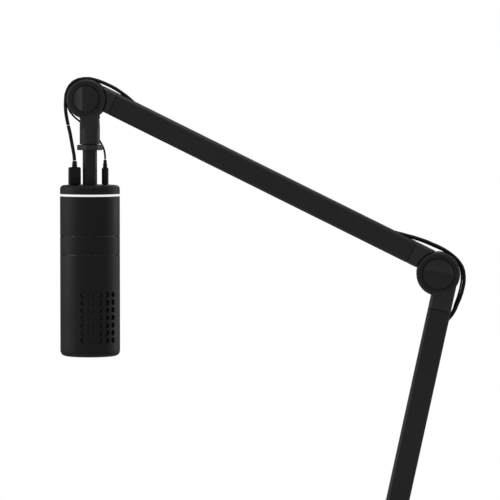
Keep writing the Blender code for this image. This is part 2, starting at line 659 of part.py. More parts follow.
USB_RISER = [
    (-11.9, -6.1, -59.4), (-12.4, -6.0, -54), (-13.3, -5.8, -49), (-14.8, -5.4, -41.2), (-16.2, -5.0, -33.5),
    (-18.1, -4.4, -25.5),
]
USB_OVER_WRIST = [
    (-18.2, -4.3, -25.0), (-19.5, -3.8, -19), (-20.6, -3.2, -12.2), (-21.0, -2.8, -6.4), (-20.9, -2.4, -1.5),
    (-20.4, -2.4, 4.3), (-19.1, -2.4, 8.4), (-17.0, -2.4, 12.5), (-13.4, -2.4, 16.3), (-8.8, -2.4, 18.7),
    (-3.0, -2.4, 19.8), (2.8, -2.4, 19.8), (8.6, -2.4, 18.4), (14.4, -2.4, 16.4), (20.2, -2.4, 13.9),
    (26.0, -2.4, 11.0), (31.8, -2.4, 7.4), (37.7, -2.4, 3.1), (43.5, -2.4, -1.8), (51, -2.4, -8.6),
    (57, -2.4, -13.2), (73, -2.4, -21.4),
]
USB_UPPER_END = [(-61.3, -2.4, 45.1), (-54.0, -2.4, 42.3), (-47.0, -2.4, 40.9)]
USB_OVER_ELBOW = [
    (-46.5, -2.4, 40.8), (-40.9, -2.4, 39.6), (-35.2, -2.4, 38.2), (-29.4, -2.4, 36.6), (-23.6, -2.4, 35.1),
    (-17.9, -2.4, 33.3), (-12.1, -2.4, 31.3), (-6.4, -2.4, 28.9), (-0.7, -2.4, 26.4), (5.0, -2.4, 23.6),
    (10.7, -2.4, 20.0), (16.4, -2.4, 15.4), (20.5, -2.4, 10.8), (23.1, -2.4, 6.8), (24.4, -2.4, 2.8),
    (25.1, -2.4, -2.5), (25.0, -2.4, -8.0), (24.0, -2.4, -13.5), (22.7, -2.4, -18.7), (20.9, -2.4, -24),
    (18.6, -2.4, -29.3), (16.3, -2.4, -34.8), (13.0, -2.4, -40.2), (8.2, -2.4, -46), (4.6, -2.4, -53),
    (1.8, -2.4, -61), (-1.8, -2.4, -76.3),
]
USB_LOWER_END = [(29.9, -2.4, 70.3), (27.2, -2.4, 58.0)]
USB_PAST_SHOULDER = [
    (27.1, -2.4, 57.5), (26.6, -2.4, 51), (27.2, -2.4, 44), (28.6, -2.2, 36), (29.6, -2, 28), (30, -1.5, 19),
    (29.8, -1, 10), (29.2, -0.5, 0), (28.4, 0.2, -10), (27.4, 1, -20), (26.3, 2, -29), (25.3, 3, -35.6),
]
USB_ON_DESK = [
    (25.1, 3.2, 59.6), (24.4, 7, 53), (22.8, 14, 43), (19, 22, 32), (12, 28.5, 20.5), (3, 32.5, 10.5),
    (-8, 34.8, 4), (-20, 35.5, 1.8), (-32, 34.5, 1.8), (-42, 30.5, 1.8), (-49, 23, 1.8), (-51.5, 13, 1.8),
    (-52.5, 3, 1.8), (-55.5, -5, 1.8), (-61.5, -11, 1.8),
]
HEADPHONE_RISER = [
    (16.7, 6.1, -58.3), (16.6, 6.6, -54.5), (15.6, 8.0, -49.5), (13.4, 10.2, -44.5), (9.6, 12.4, -38.5),
    (4.4, 13.2, -32.5), (-1.2, 13.2, -27.5), (-6.2, 12.7, -23.5),
]
HEADPHONE_OVER_WRIST = [
    (-6.6, 12.6, -23.2), (-10.6, 10.6, -19.8), (-14.2, 8.2, -16.4), (-17.4, 6.0, -12.0), (-19.3, 4.4, -7.0),
    (-20.1, 3.4, -1.5), (-19.6, 3.0, 4.5), (-17.4, 2.8, 10), (-13.5, 2.7, 14.5), (-8.6, 2.7, 17.5),
    (-3, 2.7, 19.1), (2.8, 2.7, 19.1), (8.6, 2.8, 17.6), (14.4, 2.9, 15.4), (20.2, 3, 13.0), (26, 3, 10.1),
    (31.8, 3, 6.5), (37.7, 3, 2.3), (43.5, 3, -2.6), (51, 3, -9.6), (57, 3, -14.0), (73, 3, -22.0),
]
HEADPHONE_UPPER_END = [(-61.6, 3, 44.5), (-54.0, 3, 41.6), (-47.0, 3, 40.1)]
HEADPHONE_OVER_ELBOW = [
    (-46.5, 3, 40.0), (-40.9, 3, 38.5), (-35.2, 3, 37.0), (-29.4, 3, 35.3), (-23.6, 3, 33.6), (-17.9, 3, 31.7),
    (-12.1, 3, 29.5), (-6.4, 3, 27.1), (-0.7, 3, 24.6), (5.0, 3, 22.0), (10.7, 3, 18.8), (15.8, 3, 14.6),
    (19.2, 3, 10.2), (21.2, 3, 6.2), (22.2, 3, 2.2), (22.6, 3, -3), (22.3, 3, -8.5), (21.4, 3, -13.5),
    (20.1, 3, -18.7), (18.5, 3, -24), (16.5, 3, -29.3), (14.8, 3, -34.8), (11.9, 3, -40.2), (8.0, 3, -46.2),
    (3.8, 3, -53.5), (1.0, 3, -61), (-2.4, 3, -76.3),
]
HEADPHONE_LOWER_END = [(29.3, 3, 70.3), (26.5, 3, 58.0)]
HEADPHONE_PAST_SHOULDER = [
    (26.4, 3, 57.5), (25.6, 3, 51), (26.2, 3, 44), (27.6, 3.2, 36), (28.4, 3.4, 28), (28.8, 3.8, 19),
    (28.4, 4.2, 10), (27.8, 4.6, 0), (27.0, 5.2, -10), (26, 6, -20), (24.8, 7, -29), (23.7, 8, -35.6),
]
HEADPHONE_ON_DESK = [
    (23.4, 8.3, 59.6), (22, 12.5, 53), (19.2, 18.5, 43), (15, 25, 32), (9, 31, 20.5), (1, 36, 10),
    (-9, 39.2, 3.4), (-20, 40.6, 1), (-45, 41.5, 1), (-75, 41, 1), (-100, 38, 1), (-114, 33, 1), (-121, 29.5, 1),
]
RUN_STOPS = (0.4, 0.6)  # where a lead in its channel gets a point, as shares of the way


def from_hinge(hinge, points):
    """Points in millimetres from a hinge, as points in the world."""
    return [hinge + Vector(point) * MM for point in points]


def smooth(points, spacing):
    """A Catmull-Rom curve through the points, with a point at every spacing or so on its bends."""
    padded = [points[0] * 2 - points[1], *points, points[-1] * 2 - points[-2]]
    line = []
    for before, here, there, after in zip(padded, padded[1:], padded[2:], padded[3:]):
        span = (there - here).length
        pieces = 1 if span > 8 * spacing else max(1, round(span / spacing))
        for piece in range(pieces):
            t = piece / pieces
            line.append(0.5 * (
                2 * here + (there - before) * t + (2 * before - 5 * here + 4 * there - after) * t**2
                + (3 * here - before - 3 * there + after) * t**3
            ))
    return [*line, points[-1]]


def thinned(line, spacing):
    """The points of a line that are at least a spacing apart, with both its ends."""
    kept = [line[0]]
    for point in line[1:-1]:
        if (point - kept[-1]).length >= spacing and (point - line[-1]).length >= spacing / 2:
            kept.append(point)
    return [*kept, line[-1]]


def build_lead(name, points, diameter, parent, finish):
    """A plain tube with filled ends along a smooth route through the points."""
    spacing = max(2.4 * diameter, 6 * MM)
    line = thinned(smooth(points, spacing / 2), spacing)
    curve = bpy.data.curves.new(name, "CURVE")
    curve.dimensions = "3D"
    curve.bevel_depth = diameter / 2
    curve.bevel_resolution = 2
    curve.use_fill_caps = True
    spline = curve.splines.new("POLY")
    spline.points.add(len(line) - 1)
    for place, point in zip(spline.points, line):
        place.co = (*point, 1)
    curve.materials.append(finish)
    made = bpy.data.objects.new(name, curve)
    bpy.context.collection.objects.link(made)
    if parent:
        made.parent = parent
        made.matrix_basis = world_of(parent).inverted()


def along_channel(start, end):
    """Points on the straight way between two stretches."""
    return [start.lerp(end, share) for share in RUN_STOPS]


def build_leads(lead, diameter, routes, empties, finish):
    """One lead in five stretches, each on the body that holds it."""
    riser, wrist, upper_end, elbow, lower_end, shoulder, desk = routes
    build_lead(f"{lead}_lead_riser", from_hinge(WRIST, riser), diameter, empties["microphone"], finish)
    first, last = from_hinge(WRIST, wrist), from_hinge(ELBOW, upper_end)
    upper = [*first, *along_channel(first[-1], last[0]), *last]
    build_lead(f"{lead}_lead_upper", upper, diameter, empties["elbow"], finish)
    first, last = from_hinge(ELBOW, elbow), from_hinge(SHOULDER, lower_end)
    lower = [*first, *along_channel(first[-1], last[0]), *last]
    build_lead(f"{lead}_lead_lower", lower, diameter, empties["shoulder"], finish)
    build_lead(f"{lead}_lead_tail", from_hinge(SHOULDER, shoulder), diameter, empties["swivel"], finish)
    build_lead(f"{lead}_lead_base", from_hinge(Vector(), desk), diameter, None, finish)


# The spare length, wound on the desk, and what is on its end
USB_COIL = (-85 * MM, 8 * MM)
USB_COIL_RADIUS = 20.4 * MM  # to the middle of its turns
USB_COIL_BUNDLE = 5.4 * MM  # half the thickness of the bundle
HEADPHONE_COIL = (-132 * MM, 16 * MM)
HEADPHONE_COIL_RADIUS = 11.0 * MM
HEADPHONE_COIL_BUNDLE = 3.8 * MM
HOST_PLUG = (28 * MM, 16 * MM, 8 * MM)
HOST_SHELL = (18 * MM, 12 * MM, 4.5 * MM)
HOST_RELIEF = (-103.2 * MM, -112 * MM, 3 * MM)  # start, end, radius
HOST_AXIS = (-14 * MM, 4.3 * MM)  # y, z
FAR_SOCKET = (-151 * MM, -181 * MM, 4 * MM)
FAR_RELIEF = (-145.0 * MM, 2 * MM)
FAR_AXIS = (28 * MM, 4.3 * MM)


def build_spare(black, metal):
    """Both coils as turned rings, and the connectors lying beside them."""
    for name, centre, radius, bundle in (
        ("usb_lead_coil", USB_COIL, USB_COIL_RADIUS, USB_COIL_BUNDLE),
        ("headphone_lead_coil", HEADPHONE_COIL, HEADPHONE_COIL_RADIUS, HEADPHONE_COIL_BUNDLE),
    ):
        coil = turned(arc((radius, bundle), bundle, 0, tau, 8)[:-1], 24)
        add_object(name, moved(coil, Matrix.Translation((*centre, 0))), None, black)
    start, end, radius = HOST_RELIEF
    y, z = HOST_AXIS
    long, wide, thick = HOST_PLUG
    mould = box((end - long, y - wide / 2, z - thick / 2), (end, y + wide / 2, z + thick / 2))
    plug = add_object("usb_host_plug", mould, None, black)
    shell_long, shell_wide, shell_thick = HOST_SHELL
    join(plug, box(
        (end - long - shell_long, y - shell_wide / 2, z - shell_thick / 2),
        (end - long + OVERLAP, y + shell_wide / 2, z + shell_thick / 2),
    ))
    along_x = Matrix.Translation((0, y, z)) @ Matrix.Rotation(pi / 2, 4, "Y")
    join(plug, moved(rod(radius, end - OVERLAP, start, 16), along_x))
    near, far, radius = FAR_SOCKET
    relief_start, relief_radius = FAR_RELIEF
    y, z = FAR_AXIS
    along_x = Matrix.Translation((0, y, z)) @ Matrix.Rotation(pi / 2, 4, "Y")
    bore = JACK_TIP[0] + CLEARANCE
    barrel = turned([
        (0, relief_start), (relief_radius, relief_start), (relief_radius, near), (radius, near), (radius, far),
        (bore, far), (bore, far + JACK_TIP[1]), (0, far + JACK_TIP[1]),
    ][::-1], 20)
    add_object("headphone_far_socket", moved(barrel, along_x), None, metal)


def build():
    """Every object, from the desk up to the microphone."""
    black = material("satin_black", (0.035, 0.035, 0.037), 0.45, 0.3)
    dark = material("black_plastic", (0.03, 0.03, 0.03), 0.6)
    metal = material("dark_steel", (0.25, 0.25, 0.26), 0.35, 0.9)
    board = material("circuit_board", (0.02, 0.09, 0.05), 0.5)
    white = material("light_guide", (0.85, 0.86, 0.88), 0.4)
    rubber = material("black_rubber", (0.02, 0.02, 0.02), 0.8)

    base = joint_empty("clamp_travel_axis", None, WORLD)
    screw = joint_empty("clamp_screw_axis", base, WORLD)
    swivel = joint_empty("swivel_axis", None, Matrix.Translation(SHOULDER))
    lean = Matrix.Rotation(LOWER_LEAN - pi / 2, 4, "Y")
    shoulder = joint_empty("shoulder_axis", swivel, Matrix.Translation(SHOULDER) @ lean)
    rise = Matrix.Rotation(UPPER_RISE - pi, 4, "Y")
    elbow = joint_empty("elbow_axis", shoulder, Matrix.Translation(ELBOW) @ rise)
    elbow_level = joint_empty("elbow_knob_axis", shoulder, Matrix.Translation(ELBOW))
    wrist = joint_empty("wrist_axis", elbow, Matrix.Translation(WRIST))
    facing = Matrix.Rotation(MIC_TURN, 4, "Z")
    microphone = joint_empty("microphone_axis", wrist, Matrix.Translation(MIC_BASE) @ facing)

    build_clamp(black, metal, rubber)
    build_screw(base, screw, black, metal)
    build_yoke(swivel, black, metal)
    build_fastening("shoulder", swivel, ELBOW_KNOB, swivel, dark, metal)

    place = Matrix.Identity(4)
    build_tongue_end("shoulder_fitting", shoulder, place, LOWER_OFFSET, SHOULDER_SEAM, ELBOW_EAR, black)
    start, end = SHOULDER_SEAM + CLEARANCE, LOWER_SPAN - CLEVIS_SEAM - CLEARANCE
    covered = (LOWER_MOUTH, LOWER_SPAN - LOWER_MOUTH)
    build_tube("lower", shoulder, LOWER_OFFSET, start, end, covered, black, dark)
    tip = Matrix.Translation((LOWER_SPAN, 0, 0)) @ Matrix.Rotation(pi, 4, "Z")
    build_elbow_clevis(shoulder, tip, black)
    build_fastening("elbow", elbow_level, ELBOW_KNOB, elbow_level, dark, metal, ELBOW_KNOB_TURN)

    build_tongue_end("elbow_fitting", elbow, place, UPPER_OFFSET, ELBOW_SEAM, ELBOW_EAR, black)
    start, end = ELBOW_SEAM + CLEARANCE, UPPER_SPAN - WRIST_SEAM - CLEARANCE
    covered = (ELBOW_MOUTH, UPPER_SPAN - WRIST_MOUTH)
    build_tube("upper", elbow, UPPER_OFFSET, start, end, covered, black, dark)
    tip = Matrix.Translation((UPPER_SPAN, 0, 0)) @ Matrix.Rotation(pi, 4, "Z")
    build_tongue_end("wrist_fitting", elbow, tip, UPPER_OFFSET, WRIST_SEAM, WRIST_EAR, black)

    build_wrist_clevis(wrist, black)
    build_fastening("wrist", wrist, WRIST_KNOB, wrist, dark, metal)
    turn = Matrix.Rotation(LOCK_NUT_TURN - pi / 2, 4, "Z")
    under_sleeve = Matrix.Translation((POST_OFFSET, 0, -SLEEVE_END - CLEARANCE)) @ turn
    nut = rod(LOCK_NUT_RADIUS, -LOCK_NUT_HEIGHT, 0, LOCK_NUT_SIDES)
    lock_nut = add_object("lock_nut", moved(nut, under_sleeve), wrist, black)
    bore = rod(POLE_RADIUS + CLEARANCE, -LOCK_NUT_HEIGHT - OVERLAP, OVERLAP)
    cut(lock_nut, moved(bore, under_sleeve))
    gain = build_microphone(microphone, black, dark, metal, board, white, rubber)
    add_object("gain_ring", gain, microphone, black)

    empties = {"microphone": microphone, "elbow": elbow, "shoulder": shoulder, "swivel": swivel}
    build_leads("usb", USB_LEAD, (
        USB_RISER, USB_OVER_WRIST, USB_UPPER_END, USB_OVER_ELBOW, USB_LOWER_END, USB_PAST_SHOULDER, USB_ON_DESK,
    ), empties, rubber)
    build_leads("headphone", HEADPHONE_LEAD, (
        HEADPHONE_RISER, HEADPHONE_OVER_WRIST, HEADPHONE_UPPER_END, HEADPHONE_OVER_ELBOW, HEADPHONE_LOWER_END,
        HEADPHONE_PAST_SHOULDER, HEADPHONE_ON_DESK,
    ), empties, rubber)
    build_spare(dark, metal)


for leftover in list(bpy.data.objects):
    bpy.data.objects.remove(leftover)
build()
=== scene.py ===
"""A side-address microphone that hangs from a two-part boom arm, with both its leads, clamped to a desk."""

import json
from math import cos, pi, radians, sin, tau

import bmesh
import bpy
import numpy as np
from mathutils import Matrix, Vector

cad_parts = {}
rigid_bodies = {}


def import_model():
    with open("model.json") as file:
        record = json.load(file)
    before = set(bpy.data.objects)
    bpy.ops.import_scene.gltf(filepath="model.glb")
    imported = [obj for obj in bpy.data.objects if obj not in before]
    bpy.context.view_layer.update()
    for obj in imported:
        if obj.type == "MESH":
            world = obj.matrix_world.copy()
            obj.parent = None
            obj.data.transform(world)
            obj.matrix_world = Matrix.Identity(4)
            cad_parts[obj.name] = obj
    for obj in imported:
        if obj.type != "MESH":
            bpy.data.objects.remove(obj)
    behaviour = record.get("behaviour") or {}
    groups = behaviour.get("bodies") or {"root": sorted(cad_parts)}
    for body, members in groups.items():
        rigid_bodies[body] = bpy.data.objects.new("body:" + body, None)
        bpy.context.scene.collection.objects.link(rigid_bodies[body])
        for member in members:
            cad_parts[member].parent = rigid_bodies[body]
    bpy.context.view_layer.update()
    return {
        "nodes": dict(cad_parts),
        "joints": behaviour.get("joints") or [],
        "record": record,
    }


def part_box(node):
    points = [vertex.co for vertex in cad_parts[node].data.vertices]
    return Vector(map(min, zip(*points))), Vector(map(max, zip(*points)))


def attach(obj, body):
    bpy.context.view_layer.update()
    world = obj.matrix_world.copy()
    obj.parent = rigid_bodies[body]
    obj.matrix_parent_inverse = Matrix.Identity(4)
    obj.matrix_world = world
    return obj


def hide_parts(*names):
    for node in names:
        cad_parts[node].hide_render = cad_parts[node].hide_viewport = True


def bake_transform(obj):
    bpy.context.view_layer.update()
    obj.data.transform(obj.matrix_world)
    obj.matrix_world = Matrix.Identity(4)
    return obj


for leftover in list(bpy.data.objects):
    bpy.data.objects.remove(leftover)
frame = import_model()

MM = 0.001
joints = {joint["name"]: joint for joint in frame["joints"]}
SHOULDER, ELBOW, WRIST = (
    np.array(joints[name]["pos_m"]) for name in ("shoulder_tilt", "elbow_tilt", "wrist_tilt")
)


def middle(node):
    """The middle of a CAD node's box."""
    low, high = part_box(node)
    return np.array((low + high) / 2)


def direction(start, end):
    return (end - start) / np.linalg.norm(end - start)


# Camera and lights

AIM = WRIST + np.array((157.7, 0, -145.9)) * MM
VIEW_TURN = radians(2.5)
VIEW_RISE = radians(2.6)
VIEW_WIDTH = 484 * MM
LENS = 250.0
SENSOR = 36.0
SOFT_BOXES = (  # name, place from the aim and size in metres, watts
    ("left_box", (-1.8, -0.1, 0.4), (1.3, 1.6), 5.5),
    ("right_box", (1.5, 1.0, 0.3), (0.6, 1.6), 5.0),
    ("top_box", (0.1, -0.1, 1.8), (1.8, 0.8), 5.5),
    ("back_box", (0.3, 2.2, 1.0), (1.6, 1.2), 4.0),
)
BACKDROP_STRENGTH = 1.0
FILL_STRENGTH = 0.215

bpy.context.scene.view_settings.view_transform = "Standard"  # keeps the backdrop white


def set_camera():
    """A long lens, turned and raised a little, aimed between the wrist and the elbow."""
    data = bpy.data.cameras.new("camera")
    data.lens = LENS
    data.sensor_width = SENSOR
    data.clip_end = 50
    camera = bpy.data.objects.new("camera", data)
    bpy.context.collection.objects.link(camera)
    distance = VIEW_WIDTH * LENS / SENSOR
    toward = np.array((
        sin(VIEW_TURN) * cos(VIEW_RISE), -cos(VIEW_TURN) * cos(VIEW_RISE), sin(VIEW_RISE)
    ))
    camera.location = Vector(AIM + toward * distance)
    camera.rotation_euler = Vector(-toward).to_track_quat("-Z", "Y").to_euler()
    bpy.context.scene.camera = camera


def feed(tree, node, inputs):
    """Gives each named input of a node its value, or a link from another node's output."""
    for label, value in inputs.items():
        if isinstance(value, bpy.types.NodeSocket):
            tree.links.new(value, node.inputs[label])
        else:
            node.inputs[label].default_value = value


def add_node(tree, kind, inputs=None, **settings):
    """A new shader node, with its settings made and its inputs fed."""
    made = tree.nodes.new("ShaderNode" + kind)
    for label, value in settings.items():
        setattr(made, label, value)
    feed(tree, made, inputs or {})
    return made


def set_world():
    """White behind the object, and a dimmer even light on it."""
    world = bpy.data.worlds.new("studio")
    world.use_nodes = True
    bpy.context.scene.world = world
    tree = world.node_tree
    tree.nodes.clear()
    seen, lit = (
        add_node(tree, "Background", {"Color": (1, 1, 1, 1), "Strength": strength})
        for strength in (BACKDROP_STRENGTH, FILL_STRENGTH)
    )
    path = add_node(tree, "LightPath")
    mix = add_node(tree, "MixShader", {0: path.outputs["Is Camera Ray"], 1: lit.outputs[0], 2: seen.outputs[0]})
    add_node(tree, "OutputWorld", {"Surface": mix.outputs[0]})


def set_lights():
    """The soft boxes, each facing the aim."""
    for name, place, size, power in SOFT_BOXES:
        data = bpy.data.lights.new(name, "AREA")
        data.shape = "RECTANGLE"
        data.size, data.size_y = size
        data.energy = power
        light = bpy.data.objects.new(name, data)
        bpy.context.collection.objects.link(light)
        light.location = AIM + np.array(place)
        light.rotation_euler = (-Vector(place)).to_track_quat("-Z", "Y").to_euler()


# Finishes

def node_group(name, inputs, outputs):
    """An empty shader group with its sockets, and the nodes at its two ends."""
    group = bpy.data.node_groups.new(name, "ShaderNodeTree")
    for label, value in inputs.items():
        socket = group.interface.new_socket(label, in_out="INPUT", socket_type="NodeSocketFloat")
        socket.default_value = value
    for label in outputs:
        group.interface.new_socket(label, in_out="OUTPUT", socket_type="NodeSocketFloat")
    return group, group.nodes.new("NodeGroupInput").outputs, group.nodes.new("NodeGroupOutput")


def own_place(tree):
    """The point being shaded, in the piece's own space."""
    return add_node(tree, "TexCoord").outputs["Object"]


def noise(tree, vector, scale, detail=2.0, roughness=0.55):
    inputs = {"Vector": vector, "Scale": scale, "Detail": detail, "Roughness": roughness}
    return add_node(tree, "TexNoise", inputs).outputs["Fac"]


def arithmetic(tree, operation, first, second=0.0):
    return add_node(tree, "Math", {0: first, 1: second}, operation=operation).outputs[0]


def spread(tree, value, source, target=(0.0, 1.0)):
    """A value carried from one range to another."""
    ranges = dict(zip(("From Min", "From Max", "To Min", "To Max"), (*source, *target)))
    return add_node(tree, "MapRange", {"Value": value, **ranges}).outputs["Result"]


def make_grain_group():
    """Fine pebbles over the surface, with slow soft patches where it has been handled."""
    group, given, out = node_group("fine_grain", {"Scale": 2500.0, "Patch Scale": 18.0}, ["Height", "Patch"])
    where, scale = own_place(group), given["Scale"]
    pebbles = noise(group, where, scale, 3.0, 0.6)
    cells = add_node(group, "TexVoronoi", {"Vector": where, "Scale": scale}, feature="SMOOTH_F1")
    both = arithmetic(group, "ADD", pebbles, cells.outputs["Distance"])
    patch = noise(group, where, given["Patch Scale"], 3.0)
    feed(group, out, {"Height": arithmetic(group, "MULTIPLY", both, 0.5), "Patch": spread(group, patch, (0.3, 0.7))})
    return group


def make_lines_group():
    """Fine drawn or turned lines, which run along the piece's own axis that is stretched least."""
    group, given, out = node_group("drawn_lines", dict.fromkeys("XYZ", 900.0), ["Height", "Streak"])
    stretch = add_node(group, "CombineXYZ", {label: given[label] for label in "XYZ"})
    place = add_node(group, "VectorMath", {0: own_place(group), 1: stretch.outputs[0]}, operation="MULTIPLY")
    lines = noise(group, place.outputs[0], 1.0, 4.0, 0.7)
    feed(group, out, {"Height": lines, "Streak": spread(group, lines, (0.35, 0.65))})
    return group


def make_dust_group():
    """A thin settling of dust, on what faces up, in soft uneven drifts."""
    group, given, out = node_group("settled_dust", {"Amount": 0.1}, ["Dust"])
    normal = add_node(group, "NewGeometry").outputs["Normal"]
    upward = add_node(group, "SeparateXYZ", {0: normal}).outputs["Z"]
    drift = spread(group, noise(group, own_place(group), 60.0, 4.0), (0.35, 0.75), (0.2, 1.0))
    dust = arithmetic(group, "MULTIPLY", spread(group, upward, (0.55, 1.0)), drift)
    feed(group, out, {"Dust": arithmetic(group, "MULTIPLY", dust, given["Amount"])})
    return group


GRAIN = make_grain_group()
LINES = make_lines_group()
DUST = make_dust_group()
DUST_COLOUR = (0.30, 0.29, 0.27, 1)


def finish(name, colour, roughness, metallic=0.0, grain=2500.0, lines=None, relief=0.02, uneven=0.12, dust=0.03,
           coat=0.0, glow=0.0):
    """A surface finish: a colour that drifts a little, grain or drawn lines in relief, and a trace of dust."""
    made = bpy.data.materials.new(name)
    made.use_nodes = True
    tree = made.node_tree
    shader = tree.nodes["Principled BSDF"]
    if lines:
        surface = add_node(tree, "Group", node_tree=LINES)
        feed(tree, surface, dict(zip("XYZ", lines)))
    else:
        surface = add_node(tree, "Group", node_tree=GRAIN)
        feed(tree, surface, {"Scale": grain})
    drift = surface.outputs["Streak" if lines else "Patch"]
    bump = add_node(tree, "Bump", {"Strength": 0.5, "Distance": relief * MM, "Height": surface.outputs["Height"]})
    darker, lighter = ((*[part * share for part in colour], 1) for share in (1 - uneven, 1 + uneven))
    tint = add_node(tree, "Mix", data_type="RGBA")
    feed(tree, tint, {"Factor": drift, "A": darker, "B": lighter})
    settled = add_node(tree, "Group", node_tree=DUST)
    feed(tree, settled, {"Amount": dust})
    over = add_node(tree, "Mix", data_type="RGBA")
    feed(tree, over, {"Factor": settled.outputs["Dust"], "A": tint.outputs["Result"], "B": DUST_COLOUR})
    feed(tree, shader, {
        "Base Color": over.outputs["Result"], "Metallic": metallic, "Normal": bump.outputs["Normal"],
        "Roughness": spread(tree, drift, (0.0, 1.0), (roughness * 0.9, min(roughness * 1.1, 1.0))),
        "Coat Weight": coat, "Coat Roughness": 0.25,
    })
    if glow:
        feed(tree, shader, {"Emission Strength": glow, "Emission Color": over.outputs["Result"]})
    return made


WIRE_PITCH = 0.7 * MM
WIRE_RELIEF = 0.15 * MM


def wire_mesh_finish():
    """Woven wire: two sets of waves, up the cylinder and round it, as height."""
    # Its grey is set well above the case's black: the mesh's own dark grey with painted light added, making up for the
    # shade deep in the holes and standing for the glint on the wires.
    made = finish("wire_mesh", (0.10, 0.10, 0.102), 0.5)
    tree = made.node_tree
    part = add_node(tree, "SeparateXYZ", {0: own_place(tree)}).outputs
    across = arithmetic(tree, "ADD", part["X"], part["Y"])
    waves = [
        arithmetic(tree, "SINE", arithmetic(tree, "MULTIPLY", way, tau / WIRE_PITCH)) for way in (across, part["Z"])
    ]
    bump = next(node for node in tree.nodes if node.type == "BUMP")
    feed(tree, bump, {"Distance": WIRE_RELIEF, "Height": arithmetic(tree, "MAXIMUM", *waves)})
    return made


def grey(level, blue):
    """A colour whose red and green are the same."""
    return level, level, blue


FINISHES = {
    "case": finish("case_paint", grey(0.0110, 0.0112), 0.52, grain=3200, relief=0.012, dust=0.012),
    "arm_tube": finish("arm_paint", grey(0.0360, 0.0366), 0.42, grain=1900, relief=0.014, dust=0.02),
    "arm_joint": finish("joint_paint", grey(0.0520, 0.0528), 0.40, grain=2300, relief=0.012, dust=0.02),
    "channel_cover": finish("cover_plastic", grey(0.0130, 0.0135), 0.5, lines=(60, 2500, 60), relief=0.01),
    "knob": finish("knob_plastic", grey(0.0330, 0.0334), 0.48, grain=2600, relief=0.02, dust=0.015),
    "steel": finish("blackened_steel", grey(0.160, 0.165), 0.38, 0.95, lines=(1400, 500, 1400), relief=0.01),
    "pole": finish("pole_paint", grey(0.0340, 0.0345), 0.36, 0.25, lines=(30, 30, 5200), relief=0.006, dust=0.0),
    "light_guide": finish("light_guide", (0.86, 0.87, 0.89), 0.42, grain=900, relief=0.004, uneven=0.01, glow=0.75),
    "circuit_board": finish("solder_mask", (0.012, 0.075, 0.035), 0.35, grain=700, relief=0.02, coat=0.4),
    "mesh": wire_mesh_finish(),
    "capsule": finish("capsule_metal", (0.62, 0.48, 0.25), 0.3, 0.9, grain=1500, relief=0.01),
    "chassis": finish("chassis_metal", grey(0.45, 0.46), 0.42, 0.9, lines=(900, 900, 40), relief=0.01),
    "inner_plastic": finish("inner_plastic", grey(0.020, 0.020), 0.6, grain=1500, relief=0.03),
    "rubber": finish("soft_rubber", grey(0.012, 0.012), 0.75, grain=1300, relief=0.04, dust=0.08),
    "plug": finish("moulded_plug", grey(0.0095, 0.0098), 0.5, grain=2400, relief=0.02, dust=0.0),
    "usb_lead": finish("usb_jacket", grey(0.0095, 0.0098), 0.46, grain=1500, relief=0.02, dust=0.02),
    "headphone_lead": finish("headphone_jacket", grey(0.0090, 0.0094), 0.42, grain=2200, relief=0.012, dust=0.02),
    "desk": finish("desk_top", (0.86, 0.855, 0.84), 0.6, grain=500, relief=0.01, uneven=0.02, dust=0.0),
}


def finish_cad_nodes():
    """Gives every CAD node the finish of its slot, by the record's sub-parts."""
    for part in frame["record"]["subparts"]:
        node = frame["nodes"].get(part.get("node"))
        slot = part.get("material_slot")
        if node and slot in FINISHES:
            node.data.materials.clear()
            node.data.materials.append(FINISHES[slot])


# Surfaces, as grids of points

def eased(corners, ease, closed=False, steps=4):
    """A polyline whose corners are each replaced by a curve: p(t) = (1-t)^2 a + 2t(1-t) corner + t^2 b.

    a and b are on the two sides, an ease away from the corner or half a side if that is shorter.
    """
    corners = np.array(corners, float)
    ease = np.broadcast_to(ease, len(corners))[:, None]
    back = np.roll(corners, 1, axis=0) - corners
    ahead = np.roll(corners, -1, axis=0) - corners
    starts, ends = (
        side * np.minimum(ease / np.maximum(np.linalg.norm(side, axis=1, keepdims=True), 1e-9), 0.49)
        for side in (back, ahead)
    )
    t = np.linspace(0, 1, steps + 1)[None, :, None]
    curve = corners[:, None] + (1 - t) ** 2 * starts[:, None] + t**2 * ends[:, None]
    if closed:
        return curve.reshape(-1, corners.shape[1])
    inner = curve[1:-1].reshape(-1, corners.shape[1])
    return np.concatenate([corners[:1], inner, corners[-1:]])


def looped(line):
    """A line with its first point again at its end."""
    return np.concatenate([line, line[:1]])


def turned_at(profile, angle):
    """A profile of (radius, height) at the given angles round Z: (r cos a, r sin a, h)."""
    radius, height = np.array(profile, float).T[:, :, None]
    return np.stack([radius * np.cos(angle), radius * np.sin(angle), height + 0 * angle], axis=-1)


def turned(profile, steps=96):
    """A profile of (radius, height) carried all the way round Z."""
    return turned_at(profile, np.linspace(0, tau, steps + 1))


def turned_ring(corners, ease, steps=96, rounding=4):
    """A closed profile, its corners eased, carried all the way round Z."""
    return turned(looped(eased(corners, ease, closed=True, steps=rounding)), steps)


def turned_polygon(profile, sides, turn, steps=24):
    """As turned, but the radius is scaled to a polygon's: cos(pi/n) / cos(a mod 2pi/n - pi/n), corners eased."""
    radius, height = np.array(profile, float).T[:, :, None]
    angle = np.linspace(0, tau, sides * steps + 1)
    local = np.mod(angle, tau / sides) - pi / sides
    flat = np.minimum(cos(pi / sides) / np.cos(local), 0.985)
    scale = np.where(radius > 0.62 * np.max(radius), flat, 1.0)
    reach = radius * scale
    return np.stack([reach * np.cos(angle + turn), reach * np.sin(angle + turn), height + 0 * angle], axis=-1)


def cap(rim):
    """The flat face that closes a rim."""
    return np.array(rim)[None]


